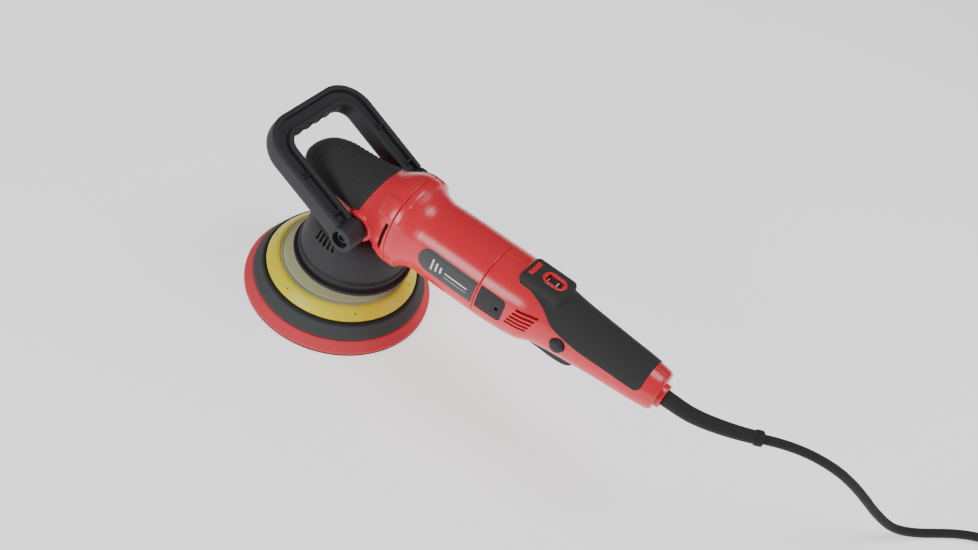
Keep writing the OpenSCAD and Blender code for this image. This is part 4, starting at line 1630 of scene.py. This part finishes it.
@dataclass
class FrontHandle:
    """The tilting front handle, with a channel along its upper face, and its bosses."""

    lean: float = 66.0
    reach: float = 97.0
    half: float = 45.5
    arm: float = 9.4
    grip: float = 9.0
    corner: float = 21.0
    channel: float = 4.4
    depth: float = 4.6
    start: float = 8.4
    arm_rows: int = 60
    corner_rows: int = 24
    grip_rows: int = 56
    rib_places: tuple[float, float] = (9.5, 47.0)
    bump_pitch: float = 11.5
    bump_height: float = 1.15

    def build(self) -> None:
        """Builds the handle, its eyes, the bolts and the bosses."""
        bar = self._bar()
        eyes = [self._eye(side) for side in Side]
        handle = joined("front_handle_moulding", [bar, *eyes])
        dress(handle, Finishes.BLACK, Body.BAIL, "front_handle")
        self._bolts()
        self._bosses()

    def _path(self) -> np.ndarray:
        """Returns the bar's centre line from the near eye round to the far eye."""
        lean = math.radians(self.lean)
        along = np.array([-math.sin(lean), 0, math.cos(lean)])
        straight = self.reach - self.corner
        flat = [(-self.half, d) for d in np.linspace(self.start, straight, self.arm_rows)]
        for k in range(1, self.corner_rows + 1):
            turn = math.pi / 2 * k / self.corner_rows
            flat.append((-self.half + self.corner * (1 - math.cos(turn)),
                         straight + self.corner * math.sin(turn)))
        grip = self.half - self.corner
        near = flat[::-1]
        flat += [(y, self.reach) for y in np.linspace(-grip, grip, self.grip_rows)[1:]]
        flat += [(-y, d) for y, d in near]
        base = np.array([PIVOT[0], 0, PIVOT[1]])
        return np.array([base + along * d + np.array([0, y, 0]) for y, d in flat])

    def _bar(self) -> bpy.types.Object:
        """Returns the bar with its channel, its ribs and its finger bumps."""
        path = self._path()
        lengths = np.r_[0, np.cumsum(np.linalg.norm(np.diff(path, axis=0), axis=1))]
        total = lengths[-1]
        ribs = [place for rib in self.rib_places for place in (rib, total - rib)]

        def section(row: int, share: float) -> np.ndarray:
            """Returns the section: a rounded square with a channel in one face."""
            here = share * total
            gripping = float(step(np.array(1 - abs(path[row][1]) / 32), 0.0, 0.3))
            size = self.arm + (self.grip - self.arm) * gripping
            deep = self.depth
            for rib in ribs:
                deep *= float(step(np.array(abs(here - rib)), 0.8, 1.8))
            deep = max(deep, 0.25)
            wave = 0.5 - 0.5 * math.cos(2 * math.pi * path[row][1] / self.bump_pitch)
            inner = size + self.bump_height * gripping * wave - 0.5 * gripping
            return np.array(rounded([
                (inner, -size), (inner, size), (self.channel + 0.35, size),
                (self.channel - 0.2, size - deep), (-self.channel + 0.2, size - deep),
                (-self.channel - 0.35, size), (-size, size), (-size, -size),
            ], [7.5, 2.2, 0.9, 1.1, 1.1, 0.9, 2.2, 7.5], steps=5))

        lean = math.radians(self.lean)
        return sweep("bar", path, section, (math.cos(lean), 0, math.sin(lean)))

    def _eye(self, side: Side) -> bpy.types.Object:
        """Returns the eye of one arm, with a recess for its bolt.

        Args:
            side: The side that it is on.
        """
        corners = [(4.2, 36.4), (11.5, 36.4), (11.5, 54.6), (7.3, 54.6), (7.2, 48.7),
                   (4.2, 48.7)]
        return side_lathe("eye", corners, [0.4, 1.0, 1.8, 0.8, 0.4, 0.3], side, 96)

    def _bolts(self) -> None:
        """Builds the pivot bolts with their hexagon sockets."""
        corners = [(0, 22), (3.9, 22), (3.9, 48.9), (5.6, 48.9), (5.6, 51.2), (2.9, 51.4),
                   (2.7, 49.6), (0, 49.6)]
        radii = [0, 0, 0.2, 0.3, 0.8, 0.3, 0.3, 0]
        bolts = joined("pivot_bolts",
                       [side_lathe("bolt", corners, radii, side, 72) for side in Side])
        dress(bolts, Finishes.BOLT, Body.HOUSING, "handle_bolts", slot="steel")

    def _bosses(self) -> None:
        """Builds the black bosses between the head and the handle's eyes."""
        corners = [(4.1, 23), (9.5, 23), (9.5, 35.5), (4.1, 35.5)]
        bosses = joined("handle_boss_sleeves", [
            side_lathe("boss", corners, [0, 0, 0.9, 0.4], side, 96) for side in Side])
        dress(bosses, Finishes.BLACK, Body.HOUSING, "handle_bosses", slot=self._boss_slot())

    def _boss_slot(self) -> str:
        """Returns the record's slot of the bosses."""
        return next(part["material_slot"] for part in frame["record"]["subparts"]
                    if part["node"] == "handle_bosses")


# --- Pad ---


@dataclass
class PadStack:
    """The red pad, the grey cushion and the yellow backing plate on the pad's axis."""

    throw: float = 7.5
    pad_radius: float = 82.5
    foam_radius: float = 75.6
    plate_radius: float = 65.9
    holes: int = 6
    hole_circle: float = 61.0
    segments: int = 360
    uneven_from: float = 60.0

    def build(self) -> None:
        """Builds every layer of the stack."""
        centre = (-self.throw, 0.0, 0.0)
        pad, foam = self.pad_radius, self.foam_radius
        face = lathe("pad_face_fabric", rounded([(0, 0), (pad - 0.4, 0), (pad - 0.4, 1.5),
                                                 (0, 1.5)], [0, 0.5, 0.3, 0]), centre)
        dress(face, Finishes.RING, Body.PAD, "pad_face_layer")
        sponge = self._foam("polishing_pad_foam", [(0, 1.5), (pad - 0.5, 1.5), (pad, 3.6),
                                                   (foam + 0.8, 10.8), (foam - 0.4, 11.4),
                                                   (0, 11.4)],
                            [0, 0.5, 2.2, 1.4, 0.6, 0], 0.12, 5)
        dress(sponge, Finishes.RED_FOAM, Body.PAD, "polishing_pad")
        hooks = lathe("hook_fabric", [(0, 11.4), (foam - 0.8, 11.4), (foam - 0.8, 12.6),
                                      (0, 12.6)], centre, segments=192)
        dress(hooks, Finishes.RING, Body.PAD, "hook_layer")
        cushion = self._foam("cushion_foam_ring", [(0, 12.6), (foam, 12.6), (foam - 0.3, 14.2),
                                                   (69.4, 22.3), (68.4, 22.9), (0, 22.9)],
                             [0, 0.6, 1.2, 1.0, 0.6, 0], 0.07, 11)
        dress(cushion, Finishes.GREY_FOAM, Body.PAD, "cushion_foam")
        rim = lathe("plate_edge", rounded([(50, 22.9), (68.8, 22.9), (68.2, 24.6), (66.4, 25.4),
                                           (65.2, 24), (50, 24)], [0, 0.5, 0.9, 0.5, 0, 0]),
                    centre, segments=192)
        dress(rim, Finishes.RING, Body.PAD, "plate_rim")
        self._plate(centre)
        disc = lathe("hub_disc_moulding", rounded([
            (15, 33), (54.9, 33), (54.9, 34.3), (52.8, 34.3), (52, 33.9), (50.8, 34.8),
            (40, 38.5), (26, 44), (15, 45)], [0, 0, 0.3, 0.4, 0.5, 0.8, 8, 5, 0.6]), centre,
            segments=192)
        dress(disc, Finishes.CREAM, Body.PAD, "hub_disc")

    def _plate(self, centre: tuple[float, float, float]) -> None:
        """Builds the yellow plate with its air holes.

        Args:
            centre: Where the pad's axis meets the working face.
        """
        body = lathe("backing_plate_moulding", rounded([
            (16, 24), (65, 24), (self.plate_radius, 25.9), (58.2, 33.0), (55.3, 34.5), (55.0, 33.1),
            (16, 33)], [0, 0.3, 0.9, 3, 0.7, 0.2, 0]), centre, segments=192)
        for k in range(self.holes):
            turn = math.radians(20 + 360 * k / self.holes)
            at = (*around(centre, self.hole_circle, turn), 0)
            carve(body, lathe("hole", [(0, 25.5), (0.95, 25.5), (0.95, 50), (0, 50)], at,
                              "Z", 24, False))
        dress(body, Finishes.YELLOW, Body.PAD, "backing_plate")

    def _foam(self, name: str, outline: Outline, radii: Sequence[float], rough: float,
              seed: int) -> bpy.types.Object:
        """Returns a foam disc whose edge is slightly uneven.

        Args:
            name: The piece's name.
            outline: Corners as (radius, height).
            radii: Rounding of each corner.
            rough: Greatest unevenness in millimetres.
            seed: Seed of the unevenness.
        """
        profile = np.array(rounded(outline, radii, steps=5))
        fine = [profile[0]]
        for a, b in zip(profile, profile[1:]):
            parts = max(1, int(np.linalg.norm(b - a))) if max(a[0], b[0]) > self.uneven_from else 1
            fine += [a + (b - a) * (k + 1) / parts for k in range(parts)]
        ring = np.array(fine)
        chance = np.random.default_rng(seed)
        turn = np.linspace(0, 2 * math.pi, self.segments, endpoint=False)
        uneven = np.zeros((self.segments, len(ring)))
        for order in (5, 9, 14, 23, 37, 61):
            phase = chance.uniform(0, 2 * math.pi, 2)
            wave = np.sin(order * turn[:, None] + phase[0] + 0.35 * ring[None, :, 1])
            uneven += wave / 3 * chance.uniform(0.4, 1.0)
        outside = step(ring[:, 0], self.uneven_from, 66) * step(ring[:, 1] - ring[0, 1], 0.2, 1.4)
        radius = ring[None, :, 0] + rough * uneven * outside[None, :] - rough * outside
        points = np.stack([radius * np.cos(turn)[:, None] - self.throw,
                           radius * np.sin(turn)[:, None],
                           np.broadcast_to(ring[None, :, 1], radius.shape)], axis=2)
        return make_object(name, points, grid_faces(self.segments, len(ring), True, True))


# --- Controls ---


@dataclass
class Controls:
    """The trigger, its lock button and the thumbwheel that sets the speed."""

    trigger_outline: Sequence[tuple[float, float]] = (
        (177, 101.5), (176.5, 98), (178.5, 94.5), (188, 94.6), (199, 93.8), (211, 95),
        (217, 98.5), (219, 103), (218.5, 109.3), (210.2, 109.5), (208, 104.4), (180, 104.4),
    )
    dial: tuple[float, float] = (177.0, 146.5)
    dial_radius: float = 10.8
    teeth: int = 36
    groove: float = 0.45
    marks: int = 6
    mark_step: float = 45.0

    def build(self) -> None:
        """Builds the three controls."""
        outline = rounded(self.trigger_outline, [1.5, 2, 2, 4, 6, 5, 3, 2, 1, 1, 1.5, 1])
        trigger = slab("trigger_moulding", outline, 16.8, placed(0, 8.4, 0, [(90, "X")]))
        bevel(trigger, 1.6, 4)
        dress(trigger, Finishes.BLACK, Body.TRIGGER, "trigger")
        pin = lathe("trigger_pivot_pin", rounded([(0, -9.2), (1.95, -9.2), (1.95, 9.2), (0, 9.2)],
                                                 [0, 0.4, 0.4, 0]), (214, 0, 106), "Y", 32)
        dress(pin, Finishes.STEEL, Body.HOUSING, "trigger_pin")
        profile = rounded([(0, -13), (3, -13), (3, -17), (6.9, -17), (6.9, -17.8), (6.1, -17.8),
                           (6.1, -25.0), (4.8, -26.9), (2.6, -27.9), (0, -28.2)],
                          [0, 0, 0, 0, 0, 0, 1.6, 1.6, 1.6, 0])
        button = lathe("lock_button_cap", profile, (LOCK_AT[0], 0, LOCK_AT[1]), "Y", 72,
                       False)
        dress(button, Finishes.BLACK, Body.LOCK, "lock_button")
        self._thumbwheel()

    def _thumbwheel(self) -> None:
        """Builds the ribbed wheel and its white marks."""
        outline = []
        for k in range(self.teeth * 6):
            turn = 2 * math.pi * k / (self.teeth * 6)
            groove = self.groove * max(0.0, math.cos(self.teeth * turn)) ** 3
            radius = self.dial_radius - groove
            outline.append(around(self.dial, radius, turn))
        wheel = slab("dial_wheel", outline, 6.8, placed(0, 3.4, 0, [(90, "X")]), 50)
        bevel(wheel, 0.3, 2, 60)
        dress(wheel, Finishes.RUBBER, Body.DIAL, "speed_dial", slot="black_plastic")
        marks = []
        bar = rounded([(-0.45, -2.2), (0.45, -2.2), (0.45, 2.2), (-0.45, 2.2)], 0.3)
        for k in range(self.marks):
            turn = 15 + self.mark_step * (k - 2)
            place = (placed(self.dial[0], 0, self.dial[1], [(turn, "Y")])
                     @ placed(0, 0, self.dial_radius - 0.1))
            marks.append(slab("mark", bar, 0.25, place))
        printed = joined("dial_marks", marks)
        dress(printed, Finishes.PRINT, Body.DIAL, slot="black_plastic")


@dataclass
class GearCase:
    """The cast gear case inside the head, with its flange and four screws."""

    screw_circle: float = 29.0
    screws: int = 4

    def build(self) -> None:
        """Builds the casting and its screws."""
        body = lathe("case_body", rounded([
            (17.6, 91.2), (24.8, 91.2), (24.8, 114), (22.0, 126), (15.6, 138.9), (7, 138.9),
            (7, 138.2), (14.1, 138.1), (14.1, 130), (12, 130), (20.0, 124), (22.5, 115),
            (22.5, 104), (14, 104), (14, 101.2), (17.6, 101.2)], 0.8))
        neck = lathe("case_neck", rounded([
            (9.6, 21), (15.5, 21), (15.5, 42), (32.6, 43.2), (32.6, 46.8), (13.1, 46.8),
            (13.1, 39), (9.6, 39)], 0.7), (0, 0, FLANGE_Z + 1.5), "X")
        corners = [(4.3, 14), (10.5, 14), (10.5, 22.6), (4.3, 22.6)]
        pads = [side_lathe("case_pad", corners, 0.5, side, 72) for side in Side]
        case = joined("gear_case_casting", [body, neck, *pads])
        dress(case, Finishes.CAST, Body.HOUSING, "gear_case")
        heads = []
        outline = rounded([(0, 40.6), (2.9, 40.6), (2.9, 43.1), (2, 43.1), (2, 52), (0, 52)],
                          [0, 0.6, 0, 0, 0.3, 0])
        for k in range(self.screws):
            turn = math.radians(45 + 360 * k / self.screws)
            at = (0, *around((0, FLANGE_Z), self.screw_circle, turn))
            heads.append(lathe("case_screw", outline, at, "X", 32))
        screws = joined("gear_case_screw_set", heads)
        dress(screws, Finishes.STEEL, Body.HOUSING, "gear_case_screws")


@dataclass
class Works:
    """Everything inside the housings, which keeps its CAD shape."""

    bevel_mm: float = 0.25

    def build(self) -> None:
        """Gives every CAD node that is still shown its finish and softer edges."""
        slots = {part["node"]: part["material_slot"] for part in frame["record"]["subparts"]}
        for name, node in frame["nodes"].items():
            node.data.materials.clear()
            node.data.materials.append(Finishes.BY_SLOT[slots[name]].material())
            if not node.hide_render:
                bevel(node, self.bevel_mm, 2)


# --- Studio ---


@dataclass(frozen=True)
class SoftLight:
    """A soft area light that points at the machine."""

    name: str
    place: tuple[float, float, float]
    size_mm: float
    power: float

    def build(self, target: Vector) -> None:
        """Adds the light.

        Args:
            target: Where it points, in metres.
        """
        lamp = bpy.data.lights.new(self.name, "AREA")
        lamp.shape = "DISK"
        lamp.size = self.size_mm * MM
        lamp.energy = self.power
        light = linked(self.name, lamp)
        light.location = Vector(self.place) * MM
        light.rotation_euler = (target - light.location).to_track_quat("-Z", "Y").to_euler()


@dataclass
class Studio:
    """The camera, the pale floor and the soft light."""

    place: tuple[float, float, float] = (374.52, -645.68, 816.04)
    azimuth: float = 21.153
    elevation: float = 45.073
    roll: float = 20.004
    lens: float = 45.75
    world: float = 0.08
    floor_glow: float = 0.95
    floor_reach: float = 6000.0
    target: tuple[float, float, float] = (120.0, 0.0, 90.0)
    lights: Sequence[SoftLight] = (
        SoftLight("key_light", (-250, -1200, 620), 600, 10),
        SoftLight("top_light", (450, 250, 1400), 700, 9),
        SoftLight("rear_light", (1000, 500, 600), 600, 2),
    )

    def build(self) -> None:
        """Builds the camera, the floor, the world and the lights."""
        self._camera()
        self._floor()
        world = bpy.data.worlds.new("pale_world")
        world.use_nodes = True
        shade = world.node_tree.nodes["Background"]
        shade.inputs["Color"].default_value = (1.0, 1.0, 1.0, 1.0)
        shade.inputs["Strength"].default_value = self.world
        bpy.context.scene.world = world
        for light in self.lights:
            light.build(Vector(self.target) * MM)

    def _camera(self) -> None:
        """Builds the camera."""
        a, e, r = (math.radians(v) for v in (self.azimuth, self.elevation, self.roll))
        back = Vector((math.sin(a) * math.cos(e), -math.cos(a) * math.cos(e), math.sin(e)))
        level = Vector((math.cos(a), math.sin(a), 0))
        upright = back.cross(level)
        right = math.cos(r) * level + math.sin(r) * upright
        up = back.cross(right)
        data = bpy.data.cameras.new("camera")
        data.lens = self.lens
        data.sensor_width = 36.0
        data.clip_start = 0.01
        camera = linked("camera", data)
        turn = Matrix((right, up, back)).transposed().to_4x4()
        camera.matrix_world = Matrix.Translation(Vector(self.place) * MM) @ turn
        bpy.context.scene.camera = camera

    def _floor(self) -> None:
        """Builds the pale floor under the machine."""
        reach = self.floor_reach
        outline = [(-reach, -reach), (reach, -reach), (reach, reach), (-reach, reach)]
        floor = slab("floor", outline, 20, placed(0, 0, -20.2))
        paper = Finish("floor_paper", (0.88, 0.88, 0.88), 0.8, bump=0.02,
                       mottle=0.01).material()
        shader = next(n for n in paper.node_tree.nodes if n.type == "BSDF_PRINCIPLED")
        shader.inputs["Emission Color"].default_value = (1.0, 1.0, 1.0, 1.0)
        shader.inputs["Emission Strength"].default_value = self.floor_glow
        floor.data.materials.append(paper)


def main() -> None:
    """Builds the machine piece by piece."""
    logging.basicConfig(level=logging.INFO, format="%(message)s")
    for part in (Studio(), CordSet(), CordGuard(), Head(), MotorHousing(), RearHandle(),
                 FrontHandle(), PadStack(), Controls(), GearCase(), Works()):
        LOG.info("building %s", type(part).__name__)
        part.build()


if __name__ == "__main__":
    main()
